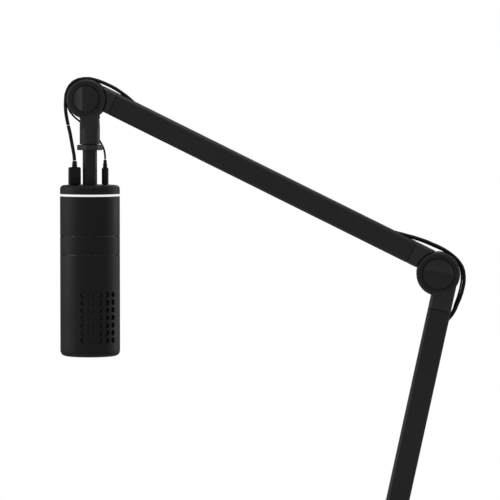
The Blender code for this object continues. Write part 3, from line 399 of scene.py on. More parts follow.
def inset(outline, distance):
    """A closed outline moved in by a distance, each point along its bisector: p + d n / (1 + n.m)."""
    ahead = np.roll(outline, -1, axis=0) - outline
    ahead = ahead / np.maximum(np.linalg.norm(ahead, axis=1, keepdims=True), 1e-12)
    normal = np.stack([-ahead[:, 1], ahead[:, 0]], axis=1)
    before = np.roll(normal, 1, axis=0)
    area = np.sum(outline[:, 0] * np.roll(outline[:, 1], -1) - outline[:, 1] * np.roll(outline[:, 0], -1))
    bisector = (normal + before) / (1 + np.sum(normal * before, axis=1, keepdims=True) + 1e-9)
    return outline + np.sign(area) * distance * bisector


def closed_rows(rows):
    """Rows of points as a grid, with a flat face on the first row and on the last."""
    return [np.stack(rows), cap(rows[0][:-1]), cap(rows[-1][:-1])]


def swept(outline, levels, axes=(0, 1, 2)):
    """A closed outline of (a, b) carried to each level (c, inset), with both ends closed.

    The axes say which of a, b and c are X, Y and Z. The outline is moved in by the level's inset.
    """
    rows = []
    for place, distance in levels:
        line = looped(inset(outline, distance))
        rows.append(np.stack([*line.T, 0 * line[:, 0] + place])[list(axes)].T)
    return closed_rows(rows)


def plate(outline, low, high, ease):
    """A closed (x, z) outline carried along Y, its two rims rounded: inset e(1 - sin a), depth e(1 - cos a)."""
    turn = np.linspace(0, pi / 2, 4)
    levels = [(low + ease * (1 - cos(a)), ease * (1 - sin(a))) for a in turn]
    levels += [(high - ease * (1 - cos(a)), ease * (1 - sin(a))) for a in turn[::-1]]
    return swept(np.array(outline, float), levels, (0, 2, 1))


def grid_faces(rows, columns):
    corner = np.arange(rows * columns).reshape(rows, columns)
    around = corner[:-1, :-1], corner[1:, :-1], corner[1:, 1:], corner[:-1, 1:]
    return np.stack(around, axis=-1).reshape(-1, 4)


def placed(matrix, skins):
    """The same grids, carried by a matrix."""
    turn, shift = np.array(matrix)[:3, :3], np.array(matrix)[:3, 3]
    return [skin @ turn.T + shift for skin in skins]


def piece_mesh(name, skins, slot, sharp, weld):
    """One object from grids of points, its doubles merged and its faces outwards."""
    points, faces, start = [], [], 0
    for skin in skins:
        rows, columns = skin.shape[:2]
        points.append(skin.reshape(-1, 3))
        found = grid_faces(rows, columns) if rows > 1 else np.arange(columns)[None]
        faces += (found + start).tolist()
        start += rows * columns
    mesh = bpy.data.meshes.new(name)
    mesh.from_pydata(np.concatenate(points), [], faces)
    shape = bmesh.new()
    shape.from_mesh(mesh)
    bmesh.ops.remove_doubles(shape, verts=shape.verts, dist=weld)
    bmesh.ops.dissolve_degenerate(shape, edges=shape.edges, dist=weld)
    bmesh.ops.recalc_face_normals(shape, faces=shape.faces)
    shape.to_mesh(mesh)
    shape.free()
    mesh.materials.append(FINISHES[slot])
    mesh.shade_smooth()
    mesh.set_sharp_from_angle(angle=radians(sharp))
    made = bpy.data.objects.new(name, mesh)
    bpy.context.collection.objects.link(made)
    return made


def piece(name, skins, slot, body, stands_for=(), sharp=32, weld=2e-6):
    """A piece of the object, on a body of the frame, in place of the CAD nodes that it stands for."""
    made = piece_mesh(name, skins, slot, sharp, weld)
    if body:
        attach(made, body)
    if stands_for:
        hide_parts(*stands_for)
    return made


# The leads. Points are in millimetres from the hinge that a stretch passes.

ORIGIN = np.zeros(3)
USB, HEADPHONE = 3.4 * MM, 1.9 * MM  # diameters
USB_SIDE, HEADPHONE_SIDE = -2.4, 3  # each lead's Y in the arm's channel


def at_side(side, points):
    """Points of (x, z) at one Y."""
    return [(x, side, z) for x, z in points]


USB_RISER = [
    (-11.9, -6.1, -59.4), (-12.4, -6.0, -54), (-13.3, -5.8, -49), (-14.8, -5.4, -41.2), (-16.2, -5.0, -33.5),
    (-18.1, -4.4, -25.5),
]
USB_OVER_WRIST = [
    (-18.2, -4.3, -25.0), (-19.5, -3.8, -19), (-20.6, -3.2, -12.2), (-21.0, -2.8, -6.4), *at_side(USB_SIDE, [
        (-20.9, -1.5), (-20.4, 4.3), (-19.1, 8.4), (-17.0, 12.5), (-13.4, 16.3), (-8.8, 18.7), (-3.0, 19.8),
        (2.8, 19.8), (8.6, 18.4), (14.4, 16.4), (20.2, 13.9), (26.0, 11.0), (31.8, 7.4), (37.7, 3.1), (43.5, -1.8),
        (51, -8.6), (57, -13.2), (73, -21.4),
    ]),
]
USB_UPPER_END = at_side(USB_SIDE, [(-61.3, 45.1), (-54.0, 42.3), (-47.0, 40.9)])
USB_OVER_ELBOW = at_side(USB_SIDE, [
    (-46.5, 40.8), (-40.9, 39.6), (-35.2, 38.2), (-29.4, 36.6), (-23.6, 35.1), (-17.9, 33.3), (-12.1, 31.3),
    (-6.4, 28.9), (-0.7, 26.4), (5.0, 23.6), (10.7, 20.0), (16.4, 15.4), (20.5, 10.8), (23.1, 6.8), (24.4, 2.8),
    (25.1, -2.5), (25.0, -8.0), (24.0, -13.5), (22.7, -18.7), (20.9, -24), (18.6, -29.3), (16.3, -34.8),
    (13.0, -40.2), (8.2, -46), (4.6, -53), (1.8, -61), (-1.8, -76.3),
])
USB_LOWER_END = at_side(USB_SIDE, [(29.9, 70.3), (27.2, 58.0)])
USB_PAST_SHOULDER = [
    *at_side(USB_SIDE, [(27.1, 57.5), (26.6, 51), (27.2, 44)]), (28.6, -2.2, 36), (29.6, -2, 28), (30, -1.5, 19),
    (29.8, -1, 10), (29.2, -0.5, 0), (28.4, 0.2, -10), (27.4, 1, -20), (26.3, 2, -29), (25.3, 3, -35.6),
]
USB_ON_DESK = [
    (25.1, 3.2, 59.6), (24.4, 7, 53), (22.8, 14, 43), (19, 22, 32), (12, 28.5, 20.5), (3, 32.5, 10.5),
    (-8, 34.8, 4), (-20, 35.5, 1.8), (-32, 34.5, 1.8), (-42, 30.5, 1.8), (-49, 23, 1.8), (-51.5, 13, 1.8),
    (-52.5, 3, 1.8), (-55.5, -5, 1.8), (-61.5, -11, 1.8), (-69.5, -14.2, 1.9),
]
USB_TO_PLUG = [(-92.5, -14.2, 8.6), (-98.5, -14.4, 8.1), (-103.0, -14.1, 5.6), (-107.0, -14, 4.3)]
HEADPHONE_RISER = [
    (16.7, 6.1, -58.3), (16.6, 6.6, -54.5), (15.6, 8.0, -49.5), (13.4, 10.2, -44.5), (9.6, 12.4, -38.5),
    (4.4, 13.2, -32.5), (-1.2, 13.2, -27.5), (-6.2, 12.7, -23.5),
]
HEADPHONE_OVER_WRIST = [
    (-6.6, 12.6, -23.2), (-10.6, 10.6, -19.8), (-14.2, 8.2, -16.4), (-17.4, 6.0, -12.0), (-19.3, 4.4, -7.0),
    (-20.1, 3.4, -1.5), (-19.6, 3.0, 4.5), (-17.4, 2.8, 10), (-13.5, 2.7, 14.5), (-8.6, 2.7, 17.5),
    (-3, 2.7, 19.1), (2.8, 2.7, 19.1), (8.6, 2.8, 17.6), (14.4, 2.9, 15.4), *at_side(HEADPHONE_SIDE, [
        (20.2, 13.0), (26, 10.1), (31.8, 6.5), (37.7, 2.3), (43.5, -2.6), (51, -9.6), (57, -14.0), (73, -22.0),
    ]),
]
HEADPHONE_UPPER_END = at_side(HEADPHONE_SIDE, [(-61.6, 44.5), (-54.0, 41.6), (-47.0, 40.1)])
HEADPHONE_OVER_ELBOW = at_side(HEADPHONE_SIDE, [
    (-46.5, 40.0), (-40.9, 38.5), (-35.2, 37.0), (-29.4, 35.3), (-23.6, 33.6), (-17.9, 31.7), (-12.1, 29.5),
    (-6.4, 27.1), (-0.7, 24.6), (5.0, 22.0), (10.7, 18.8), (15.8, 14.6), (19.2, 10.2), (21.2, 6.2), (22.2, 2.2),
    (22.6, -3), (22.3, -8.5), (21.4, -13.5), (20.1, -18.7), (18.5, -24), (16.5, -29.3), (14.8, -34.8),
    (11.9, -40.2), (8.0, -46.2), (3.8, -53.5), (1.0, -61), (-2.4, -76.3),
])
HEADPHONE_LOWER_END = at_side(HEADPHONE_SIDE, [(29.3, 70.3), (26.5, 58.0)])
HEADPHONE_PAST_SHOULDER = [
    *at_side(HEADPHONE_SIDE, [(26.4, 57.5), (25.6, 51), (26.2, 44)]), (27.6, 3.2, 36), (28.4, 3.4, 28),
    (28.8, 3.8, 19), (28.4, 4.2, 10), (27.8, 4.6, 0), (27.0, 5.2, -10), (26, 6, -20), (24.8, 7, -29),
    (23.7, 8, -35.6),
]
HEADPHONE_ON_DESK = [
    (23.4, 8.3, 59.6), (22, 12.5, 53), (19.2, 18.5, 43), (15, 25, 32), (9, 31, 20.5), (1, 36, 10), (-9, 39.2, 3.4),
    (-20, 40.6, 1), (-45, 41.5, 1), (-75, 41, 1), (-100, 38, 1), (-114, 33, 1), (-121, 29.5, 1),
]
HEADPHONE_TO_SOCKET = [(-138.5, 28.6, 6.2), (-142.0, 28.3, 4.9), (-146.0, 28, 4.3)]


def smooth(points, spacing):
    """A Catmull-Rom curve through the points, cut into pieces of about a spacing."""
    points = np.array(points, float)
    padded = np.concatenate([points[:1] * 2 - points[1:2], points, points[-1:] * 2 - points[-2:-1]])
    line = []
    for before, here, there, after in zip(padded, padded[1:], padded[2:], padded[3:]):
        pieces = max(1, round(float(np.linalg.norm(there - here)) / spacing))
        t = (np.arange(pieces) / pieces)[:, None]
        line.append(0.5 * (
            2 * here + (there - before) * t + (2 * before - 5 * here + 4 * there - after) * t**2
            + (3 * here - before - 3 * there + after) * t**3
        ))
    return np.concatenate([*line, points[-1:]])


def from_hinge(hinge, points):
    return hinge + np.array(points, float) * MM


def along_channel(start, end):
    """Points on the straight way between two stretches."""
    return np.array([start + (end - start) * share for share in (0.25, 0.4, 0.6, 0.75)])


def wound(centre, radius, slots, start, end, clockwise, steps=40):
    """A coil's turns: the angle goes round steadily, and the place in the bundle eases from slot to slot.

    centre is the ring's middle, radius its turns' mean. A slot is (outwards, up) in millimetres. The change to
    the next slot takes the last third of each turn, by the weight 3w^2 - 2w^3.
    """
    sense = -1 if clockwise else 1
    whole = sense * (end - start) % tau / tau
    turns = len(slots) - 1 + whole
    count = int(turns * steps)
    share = np.linspace(0, turns, count)
    weight = np.clip((share % 1 - 2 / 3) * 3, 0, 1)
    weight = weight**2 * (3 - 2 * weight)
    here = np.minimum(share.astype(int), len(slots) - 1)
    there = np.minimum(here + 1, len(slots) - 1)
    slots = np.array(slots, float) * MM
    offset = slots[here] + (slots[there] - slots[here]) * weight[:, None]
    angle = start + sense * tau * share
    reach = radius + offset[:, 0]
    return np.stack([
        centre[0] + reach * np.cos(angle), centre[1] + reach * np.sin(angle), centre[2] + offset[:, 1]
    ], axis=-1)


def tube_skin(line, diameter, sides=14):
    """A round tube on a line: p + r (n cos a + b sin a), n carried along without twist, with both ends closed."""
    ahead = np.gradient(line, axis=0)
    ahead /= np.linalg.norm(ahead, axis=1, keepdims=True)
    normal = np.cross(ahead[0], (0.31, 0.95, 0.07))
    normals = []
    for way in ahead:
        normal = normal - way * normal.dot(way)
        normal = normal / np.linalg.norm(normal)
        normals.append(normal)
    normal = np.array(normals)
    side = np.cross(ahead, normal)
    angle = np.linspace(0, tau, sides + 1)[None, :, None]
    ring = normal[:, None] * np.cos(angle) + side[:, None] * np.sin(angle)
    skin = line[:, None] + ring * diameter / 2
    return [skin, cap(skin[0, :-1]), cap(skin[-1, :-1])]


def lead(name, line, diameter, bodies, start, end, stands_for, **declared):
    """One stretch of a lead as a tube, baked where it lies, in place of its CAD nodes."""
    made = piece(name, tube_skin(line, diameter), name[:name.index("_lead_")] + "_lead", None)
    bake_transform(made)
    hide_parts(*stands_for)


def build_lead(kind, diameter, routes, coil, far_pieces):
    """A lead's five stretches, from its plug on the microphone to the connector on its far end."""
    riser, wrist, upper_end, elbow, lower_end, shoulder, desk, last = routes
    step = 1.2 * diameter
    over_wrist, over_elbow = (
        np.concatenate([first, along_channel(first[-1], ending[0]), ending]) for first, ending in (
            (from_hinge(WRIST, wrist), from_hinge(ELBOW, upper_end)),
            (from_hinge(ELBOW, elbow), from_hinge(SHOULDER, lower_end)),
        )
    )
    on_desk = np.concatenate([from_hinge(ORIGIN, desk), wound(*coil), from_hinge(ORIGIN, last)])
    for stretch, points, bodies, bend_end, nodes, declared in (
        ("up", from_hinge(WRIST, riser), ("microphone", "head_post"), None, ["riser"], {}),
        ("boom", over_wrist, ("head_post", "upper_arm"), from_hinge(WRIST, (34, 0, 12)), ["upper"], {}),
        ("mast", over_elbow, ("upper_arm", "lower_arm"), from_hinge(ELBOW, (10, 0, -46)), ["lower"], {}),
        ("down", from_hinge(SHOULDER, shoulder), ("lower_arm", "swivel"), from_hinge(SHOULDER, (29, 0, -14)),
         ["tail"], {}),
        ("desk", on_desk, ("swivel", "clamp"), from_hinge(ORIGIN, (12, 28.5, 20.5)), ["base", "coil"],
         {"far_end": "plug", "with_pieces": far_pieces, "lay": "coiled"}),
    ):
        line = smooth(points, step)
        lead(f"{kind}_lead_{stretch}", line, diameter, bodies, line[0], line[-1] if bend_end is None else bend_end,
             [f"{kind}_lead_{node}" for node in nodes], **declared)


# Each coil's places across its bundle, in turn, as (outwards, up) in millimetres
USB_SLOTS = [(1.75, -3.05), (-1.75, -3.05), (-3.5, 0), (0, 0), (3.5, 0), (1.75, 3.1)]
HEADPHONE_SLOTS = [
    (0.98, -2.6), (-0.98, -2.6), (-1.96, -0.87), (0, -0.87), (1.96, -0.87), (0.98, 0.87), (-0.98, 0.87), (0, 2.7),
]
USB_COIL, HEADPHONE_COIL = 20.4 * MM, 11.0 * MM  # radii


def build_leads(usb_far, headphone_far):
    build_lead("usb", USB, (
        USB_RISER, USB_OVER_WRIST, USB_UPPER_END, USB_OVER_ELBOW, USB_LOWER_END, USB_PAST_SHOULDER, USB_ON_DESK,
        USB_TO_PLUG,
    ), (middle("usb_lead_coil"), USB_COIL, USB_SLOTS, radians(-75), radians(-92), True), usb_far)
    build_lead("headphone", HEADPHONE, (
        HEADPHONE_RISER, HEADPHONE_OVER_WRIST, HEADPHONE_UPPER_END, HEADPHONE_OVER_ELBOW, HEADPHONE_LOWER_END,
        HEADPHONE_PAST_SHOULDER, HEADPHONE_ON_DESK, HEADPHONE_TO_SOCKET,
    ), (middle("headphone_lead_coil"), HEADPHONE_COIL, HEADPHONE_SLOTS, radians(72), radians(96), False),
        headphone_far)


# The microphone, in a frame at its bottom with its front at -Y

MIC_TURN = radians(23)
MIC_LOW, MIC_HIGH = (np.array(corner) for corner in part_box("light_ring"))
MIC_AXIS = (MIC_LOW + MIC_HIGH) / 2
MIC_RADIUS = float(MIC_HIGH[1] - MIC_LOW[1]) / 2
MIC_BASE = float(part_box("lower_shell")[0].z)
AT_MIC = Matrix.Translation((MIC_AXIS[0], MIC_AXIS[1], MIC_BASE)) @ Matrix.Rotation(MIC_TURN, 4, "Z")
SHELL_WALL = 2.5 * MM
HOLE_ROWS, HOLE_COLUMNS = 7, 5
HOLE_RADIUS = 2.6 * MM
HOLE_BOTTOM = 16.2 * MM
HOLE_PITCH = 7.37 * MM
HOLE_TURN = radians(15.6)
CELL_STEPS = 8  # along each side of the patch of case round a hole
SOCKET_REACH = 15.5 * MM
FLOOR = 3.0 * MM
FOOT_EASE, CAP_EASE, SEAM_EASE = 6.2 * MM, 5.4 * MM, 0.12 * MM


def above_base(node):
    """A node's lowest and highest points, up from the microphone's bottom."""
    low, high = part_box(node)
    return low.z - MIC_BASE, high.z - MIC_BASE


def holed_cell(centre_angle, centre_height):
    """The case round one hole: rings from the cell's square edge to the hole, down its wall, and out again.

    At the hole's edge the surface turns in: the hole is wider by r(1 - sin a) where it is r(1 - cos a) deep.
    """
    side = np.linspace(-1, 1, CELL_STEPS + 1)[:-1]
    one = np.ones(CELL_STEPS)
    square = np.concatenate([
        np.stack([one, side], 1), np.stack([-side, one], 1), np.stack([-one, -side], 1), np.stack([side, -one], 1)
    ])
    square = np.concatenate([square, square[:1]])
    half = np.array((HOLE_TURN * MIC_RADIUS / 2, HOLE_PITCH / 2))
    edge = square * half
    round_way = edge / np.linalg.norm(edge, axis=1, keepdims=True)
    lip = 0.3 * MM
    rings = [(edge, 0.0), (0.5 * edge + 0.5 * round_way * (HOLE_RADIUS + lip), 0.0)]
    for turn in np.linspace(0, pi / 2, 4):
        rings.append((round_way * (HOLE_RADIUS + lip * (1 - sin(turn))), lip * (1 - cos(turn))))
    rings += [(round_way * HOLE_RADIUS, SHELL_WALL), (edge, SHELL_WALL)]
    flat = np.stack([ring for ring, depth in rings])
    depth = np.array([depth for ring, depth in rings])[:, None]
    angle = centre_angle + flat[..., 0] / MIC_RADIUS
    radius = MIC_RADIUS - depth
    return np.stack([radius * np.cos(angle), radius * np.sin(angle), centre_height + flat[..., 1]], axis=-1)


def build_lower_shell():
    """The perforated end: plain bands above, below and beside two patches of holed cells."""
    low, high = above_base("lower_shell")
    inner = MIC_RADIUS - SHELL_WALL
    patch_half = HOLE_TURN * HOLE_COLUMNS / 2
    cells = HOLE_COLUMNS * CELL_STEPS
    gap = pi - 2 * patch_half
    fronts = (-pi / 2, pi / 2)
    patches = [np.linspace(front - patch_half, front + patch_half, cells + 1) for front in fronts]
    gaps = [np.linspace(front + patch_half, front + patch_half + gap, 25) for front in fronts]
    around = np.concatenate([patches[0][:-1], gaps[0][:-1], patches[1][:-1], gaps[1]])
    band_low = HOLE_BOTTOM - HOLE_PITCH / 2
    band_high = band_low + HOLE_PITCH * HOLE_ROWS
    heights = np.linspace(band_low, band_high, HOLE_ROWS * CELL_STEPS + 1)
    foot = eased([(0, 0), (MIC_RADIUS, 0), (MIC_RADIUS, band_low)], (0, FOOT_EASE, 0), steps=8)
    floor = [(inner, band_low), (inner, FLOOR), (0, FLOOR)]
    rim = eased([
        (MIC_RADIUS, band_high), (MIC_RADIUS, high), (inner, high), (inner, band_high)
    ], (0, SEAM_EASE, SEAM_EASE, 0))
    skins = [turned_at(foot, around), turned_at(floor, around), turned_at(rim, around)]
    for gap_angles in gaps:
        for radius in (MIC_RADIUS, inner):
            skins.append(turned_at(np.stack([0 * heights + radius, heights], 1), gap_angles))
    for front in fronts:
        for column in range(HOLE_COLUMNS):
            turn = front + (column - (HOLE_COLUMNS - 1) / 2) * HOLE_TURN
            skins += [holed_cell(turn, HOLE_BOTTOM + row * HOLE_PITCH) for row in range(HOLE_ROWS)]
    piece("perforated_shell", placed(AT_MIC, skins), "case", "microphone", ["lower_shell"], sharp=40, weld=6e-6)


def build_case():
    """The rings of the case above the perforated end, each with its edges just broken."""
    inner = MIC_RADIUS - SHELL_WALL
    for name, node, slot, body, ease, bore, outer in (
        ("gain_dial", "gain_ring", "case", "gain_ring", SEAM_EASE, inner, MIC_RADIUS),
        ("upper_sleeve", "upper_shell", "case", "microphone", SEAM_EASE, inner, MIC_RADIUS),
        ("glow_ring", "light_ring", "light_guide", "microphone", 0.15 * MM, MIC_RADIUS - 7 * MM,
         MIC_RADIUS - 0.1 * MM),
    ):
        low, high = above_base(node)
        ring = turned_ring([(bore, low), (outer, low), (outer, high), (bore, high)], ease, 128)
        piece(name, placed(AT_MIC, [ring]), slot, body, [node])
    low, high = above_base("top_cap")
    pole = POLE_RADIUS + 0.3 * MM
    edge = float(above_base("light_ring")[1]) + 0.3 * MM
    skin = turned_ring([
        (pole, low), (pole + 2.7 * MM, low), (pole + 2.7 * MM, high - 4 * MM), (inner, high - 4 * MM), (inner, edge),
        (MIC_RADIUS, edge), (MIC_RADIUS, high), (pole + 0.6 * MM, high), (pole, high - 0.6 * MM),
    ], [0, 0, 0, 0, 0, 0.3 * MM, CAP_EASE, 0, 0], 128, 8)
    piece("end_cap", placed(AT_MIC, [skin]), "case", "microphone", ["top_cap"])


POLE_LOW, POLE_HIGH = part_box("pole")
POLE_RADIUS = (POLE_HIGH.y - POLE_LOW.y) / 2
SLEEVE_RADIUS = 9.85 * MM
NUT_TURN = radians(-98.8)
POST = Matrix.Translation((*((POLE_LOW + POLE_HIGH) / 2).xy, 0))


def build_post():
    """The pole, and the eight-sided nut that locks it in the sleeve."""
    low, high = POLE_LOW.z, POLE_HIGH.z
    rod = eased([(0, low), (POLE_RADIUS, low), (POLE_RADIUS, high), (0, high)], 0.5 * MM)
    piece("post", placed(POST, [turned(rod, 96)]), "pole", "microphone", ["pole"])
    low, high = (corner.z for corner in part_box("lock_nut"))
    corner_radius, bore = 12.9 * MM, POLE_RADIUS + 0.3 * MM
    ring = eased([
        (bore, low), (corner_radius, low), (corner_radius, high), (bore, high)
    ], 0.55 * MM, closed=True)
    skin = turned_polygon(looped(ring), 8, NUT_TURN, 12)
    piece("locking_nut", placed(POST, [skin]), "arm_joint", "lock_nut", ["lock_nut"], sharp=28)


# The plugs

def superellipse_at(half_x, half_y, power, angle):
    """x = a sgn(cos t)|cos t|^(2/n), y = b sgn(sin t)|sin t|^(2/n)."""
    c, s = np.cos(angle), np.sin(angle)
    return half_x * np.sign(c) * np.abs(c) ** (2 / power), half_y * np.sign(s) * np.abs(s) ** (2 / power)


def superellipse(half_x, half_y, power, steps=48):
    """A closed outline, between an ellipse and a rectangle."""
    return np.stack(superellipse_at(half_x, half_y, power, np.linspace(0, tau, steps + 1)[:-1]), 1)


def ribbed(radius, tip, low, high, ribs):
    """A strain relief: a radius that falls from radius to tip, with a groove cut between its ribs."""
    pitch = (high - low) / ribs
    profile = [(0, low)]
    for rib in range(ribs):
        share = rib / max(ribs - 1, 1)
        wide = radius + (tip - radius) * share
        start = low + rib * pitch
        profile += [(wide, start), (wide, start + 0.62 * pitch), (wide - 0.45 * MM, start + 0.70 * pitch)]
        profile += [(wide - 0.45 * MM, start + 0.98 * pitch)] if rib < ribs - 1 else [(tip - 0.5 * MM, high)]
    return turned([*profile, (0, high)], 48)


def build_plugs():
    """Both plugs that stand on the microphone's cap."""
    top = above_base("top_cap")[1] + 0.3 * MM
    at_usb = AT_MIC @ Matrix.Translation((-SOCKET_REACH, 0, top))
    mould = superellipse(6.0 * MM, 3.3 * MM, 4.5)
    levels = [(0, 0.5), (0.4, 0.1), (1.0, 0), (4.2, 0), (4.5, 0.25), (4.8, 0.25), (5.1, 0), (15.6, 0.12), (16.5, 0.35),
              (17, 0.9)]
    skins = swept(mould, [(z * MM, shrink * MM) for z, shrink in levels])
    skins += [ribbed(2.75 * MM, 2.35 * MM, 16.5 * MM, 23 * MM, 4)]
    tip = swept(superellipse(4.05 * MM, 1.15 * MM, 4), [(-6.5 * MM, 0.2 * MM), (-6.2 * MM, 0), (0.6 * MM, 0)])
    piece("usb_plug_body", placed(at_usb, [*skins, *tip]), "plug", "microphone", ["usb_plug"])
    at_jack = AT_MIC @ Matrix.Translation((SOCKET_REACH, 0, top))
    barrel = eased([
        (0, 0), (3.35, 0), (3.35, 4.6), (3.1, 4.8), (3.1, 5.3), (3.35, 5.5), (3.35, 15.4), (2.6, 16), (2.3, 16.2),
        (2.3, 17.4), (1.9, 17.7), (1.9, 18.6), (2.1, 18.9), (2.1, 20.2), (1.6, 20.5), (1.6, 21.5), (1.75, 21.8),
        (1.75, 22.8), (1.2, 24), (0, 24),
    ], 0.2) * MM
    pin = np.array([(0, -14), (0.9, -14), (1.75, -12.4), (1.75, 0.3)]) * MM
    piece("headphone_plug_body", placed(at_jack, [turned(barrel, 48), turned(pin, 32)]), "plug", "microphone",
          ["headphone_plug"])


# The arm. An arm's frame has +X along it from the base's end, and its outer side at -Z.

ALONG_Y = Matrix.Rotation(-pi / 2, 4, "X")
TUBE_HALF = 13.0 * MM
TUBE_DEPTH = 22.0 * MM
TUBE_EDGE = 2.3 * MM
UPPER_OFFSET = 7.2 * MM
LOWER_OFFSET = 8.7 * MM
WRIST_EAR, ELBOW_EAR = 19.0 * MM, 21.1 * MM
TONGUE_STEP = 1.3 * MM
TONGUE_HALF = 6.0 * MM
SLOT_HALF = 6.4 * MM
RUNNING_GAP = 0.8 * MM
CHANNEL_HALF = 8.0 * MM
CHANNEL_DEPTH = 9.0 * MM
BOLT_BORE = 3.3 * MM
NECK_LOW, NECK_HIGH = -12.0 * MM, 3.4 * MM
ALONG_ARM = (2, 0, 1)


def arm_frame(start, end):
    """A frame at one hinge, with +X towards the next and -Z at the arm's outer side."""
    along = Vector(direction(start, end))
    side = Vector((0, 1, 0))
    up = along.cross(side)
    return Matrix((
        (along.x, side.x, up.x, start[0]), (along.y, side.y, up.y, start[1]), (along.z, side.z, up.z, start[2]),
        (0, 0, 0, 1),
    ))


AT_LOWER = arm_frame(SHOULDER, ELBOW)
AT_UPPER = arm_frame(ELBOW, WRIST)
LOWER_SPAN = float(np.linalg.norm(ELBOW - SHOULDER))
UPPER_SPAN = float(np.linalg.norm(WRIST - ELBOW))
TURN_BACK = Matrix.Rotation(pi, 4, "Z")


def half_section(offset, shrink=0.0, channel=False):
    """The tube's right half as (y, z), from the outer side's middle round to the inner side's, edges chamfered."""
    wide, low, high = TUBE_HALF - shrink, -offset - TUBE_DEPTH / 2, -offset + TUBE_DEPTH / 2
    start = [(0, low), (wide - TUBE_EDGE, low)]
    if channel:
        floor = low + CHANNEL_DEPTH
        start = [(0, floor), (CHANNEL_HALF, floor), (CHANNEL_HALF, low), (wide - TUBE_EDGE, low)]
    side = [(wide, z) for z in np.linspace(low + TUBE_EDGE, high - TUBE_EDGE, 13)]
    corners = [*start, *side, (wide - TUBE_EDGE, high), (0, high)]
    return eased(corners, 0.45 * MM, steps=3)


def full_section(half):
    """Both halves, as one closed outline."""
    return np.concatenate([half, half[::-1][1:-1] * (-1, 1)])


def fitting_block(offset, seam, bore, shrink=0.0):
    """A block with the tube's outline from a concave face to the seam: x runs from sqrt(bore^2 - z^2)."""
    half = half_section(offset, shrink)
    outline = full_section(half)
    lip = 0.35 * MM
    rows = []
    for place, distance in ((None, lip), (lip, 0), (seam - 6 * MM, 0), (seam - lip, 0), (seam, lip)):
        line = inset(outline, distance)
        face = np.sqrt(np.maximum(bore**2 - line[:, 1] ** 2, (2 * MM) ** 2))
        if not rows:
            x = face
        elif len(rows) == 1:
            x = face + lip
        elif len(rows) == 2:
            x = np.maximum(place, face + 2 * lip)
        else:
            x = 0 * face + place
        rows.append(looped(np.stack([x, line[:, 0], line[:, 1]], 1)))
    first = rows[0][:len(half)]
    return [np.stack(rows), np.stack([first, first * (1, -1, 1)], 1), cap(rows[-1][:-1])]


def ear_disc(radius, knob_radius, mirrored):
    """One ear: a disc with a broken edge, a raised band, and a shallow seat round the knob, turned about Y."""
    seat = knob_radius + 0.9 * MM
    profile = eased([
        (3.3, SLOT_HALF / MM), (radius / MM, SLOT_HALF / MM), (radius / MM, 12.0), (radius / MM - 1.0, 13.0),
        (radius / MM - 3.2, 13.0), (radius / MM - 3.6, 12.6), (seat / MM + 0.5, 12.6), (seat / MM, 12.0), (3.3, 12.0),
    ], 0.25) * MM
    skin = turned(looped(profile), 128)
    turn = ALONG_Y if not mirrored else Matrix.Rotation(pi / 2, 4, "X")
    return placed(turn, [skin])


def tongue(radius, reach):
    """The disc that turns between the ears, and its neck to the fitting."""
    bore, low, high = BOLT_BORE, -TONGUE_HALF, TONGUE_HALF
    disc = turned_ring([(bore, low), (radius, low), (radius, high), (bore, high)], 0.6 * MM)
    neck = [(0, NECK_LOW), (reach, NECK_LOW), (reach, NECK_HIGH), (0, NECK_HIGH)]
    return [*placed(ALONG_Y, [disc]), *plate(neck, low, high, 0.3 * MM)]


def broken(start, end, edge):
    """A length's levels, with both its end edges broken."""
    return (start, edge), (start + edge, 0.0), (end - edge, 0.0), (end, edge)


def build_tube(arm, at, offset, start, end, body):
    """The tube with its open channel."""
    outline = full_section(half_section(offset, channel=True))
    skins = swept(outline, broken(start, end, 0.3 * MM), ALONG_ARM)
    piece(f"{arm}_boom_tube", placed(at, skins), "arm_tube", body, [f"{arm}_tube"], sharp=25)


def build_cover(arm, at, offset, start, end, body):
    """The strip over the leads: its edges broken, a shallow groove down each side, and its ends eased down."""
    outer = -offset - TUBE_DEPTH / 2 + 0.4 * MM
    half, thick, groove = CHANNEL_HALF - 0.3 * MM, 2 * MM, 0.3 * MM
    right = [
        (half - 2.4 * MM, outer), (half - 2.2 * MM, outer + groove), (half - 1.8 * MM, outer + groove),
        (half - 1.6 * MM, outer), (half, outer), (half, outer + thick),
    ]
    strip = eased([*[(-y, z) for y, z in right[::-1]], *right], 0.12 * MM, closed=True, steps=2)
    rows = []
    for x, down in broken(start, end, 0.35 * MM):
        line = looped(strip + (0, down))
        rows.append(np.stack([0 * line[:, 0] + x, line[:, 0], line[:, 1]], 1))
    piece(f"{arm}_cover_strip", placed(at, closed_rows(rows)), "channel_cover", body, [f"{arm}_channel_cover"])


def build_fittings():
    """The ends of both tubes, each round its hinge."""
    for name, at, offset, seam, ear, body, node in (
        ("shoulder_end", AT_LOWER, LOWER_OFFSET, 32.0, ELBOW_EAR, "lower_arm", "shoulder_fitting"),
        ("elbow_end", AT_UPPER, UPPER_OFFSET, 32.0, ELBOW_EAR, "upper_arm", "elbow_fitting"),
        ("wrist_end", AT_UPPER @ Matrix.Translation((UPPER_SPAN, 0, 0)) @ TURN_BACK, UPPER_OFFSET, 25.0, WRIST_EAR,
         "upper_arm", "wrist_fitting"),
    ):
        skins = fitting_block(offset, seam * MM, ear + RUNNING_GAP)
        skins += tongue(ear - TONGUE_STEP, ear + 3 * MM)
        piece(name, placed(at, skins), "arm_joint", body, [node], sharp=25)
    at = AT_LOWER @ Matrix.Translation((LOWER_SPAN, 0, 0)) @ TURN_BACK
    skins = fitting_block(LOWER_OFFSET, 34.0 * MM, ELBOW_EAR - TONGUE_STEP + 0.6 * MM, 0.6 * MM)
    for mirrored in (False, True):
        skins += ear_disc(ELBOW_EAR, ELBOW_KNOB, mirrored)
    piece("elbow_ears", placed(at, skins), "arm_joint", "lower_arm", ["elbow_clevis"], sharp=25)


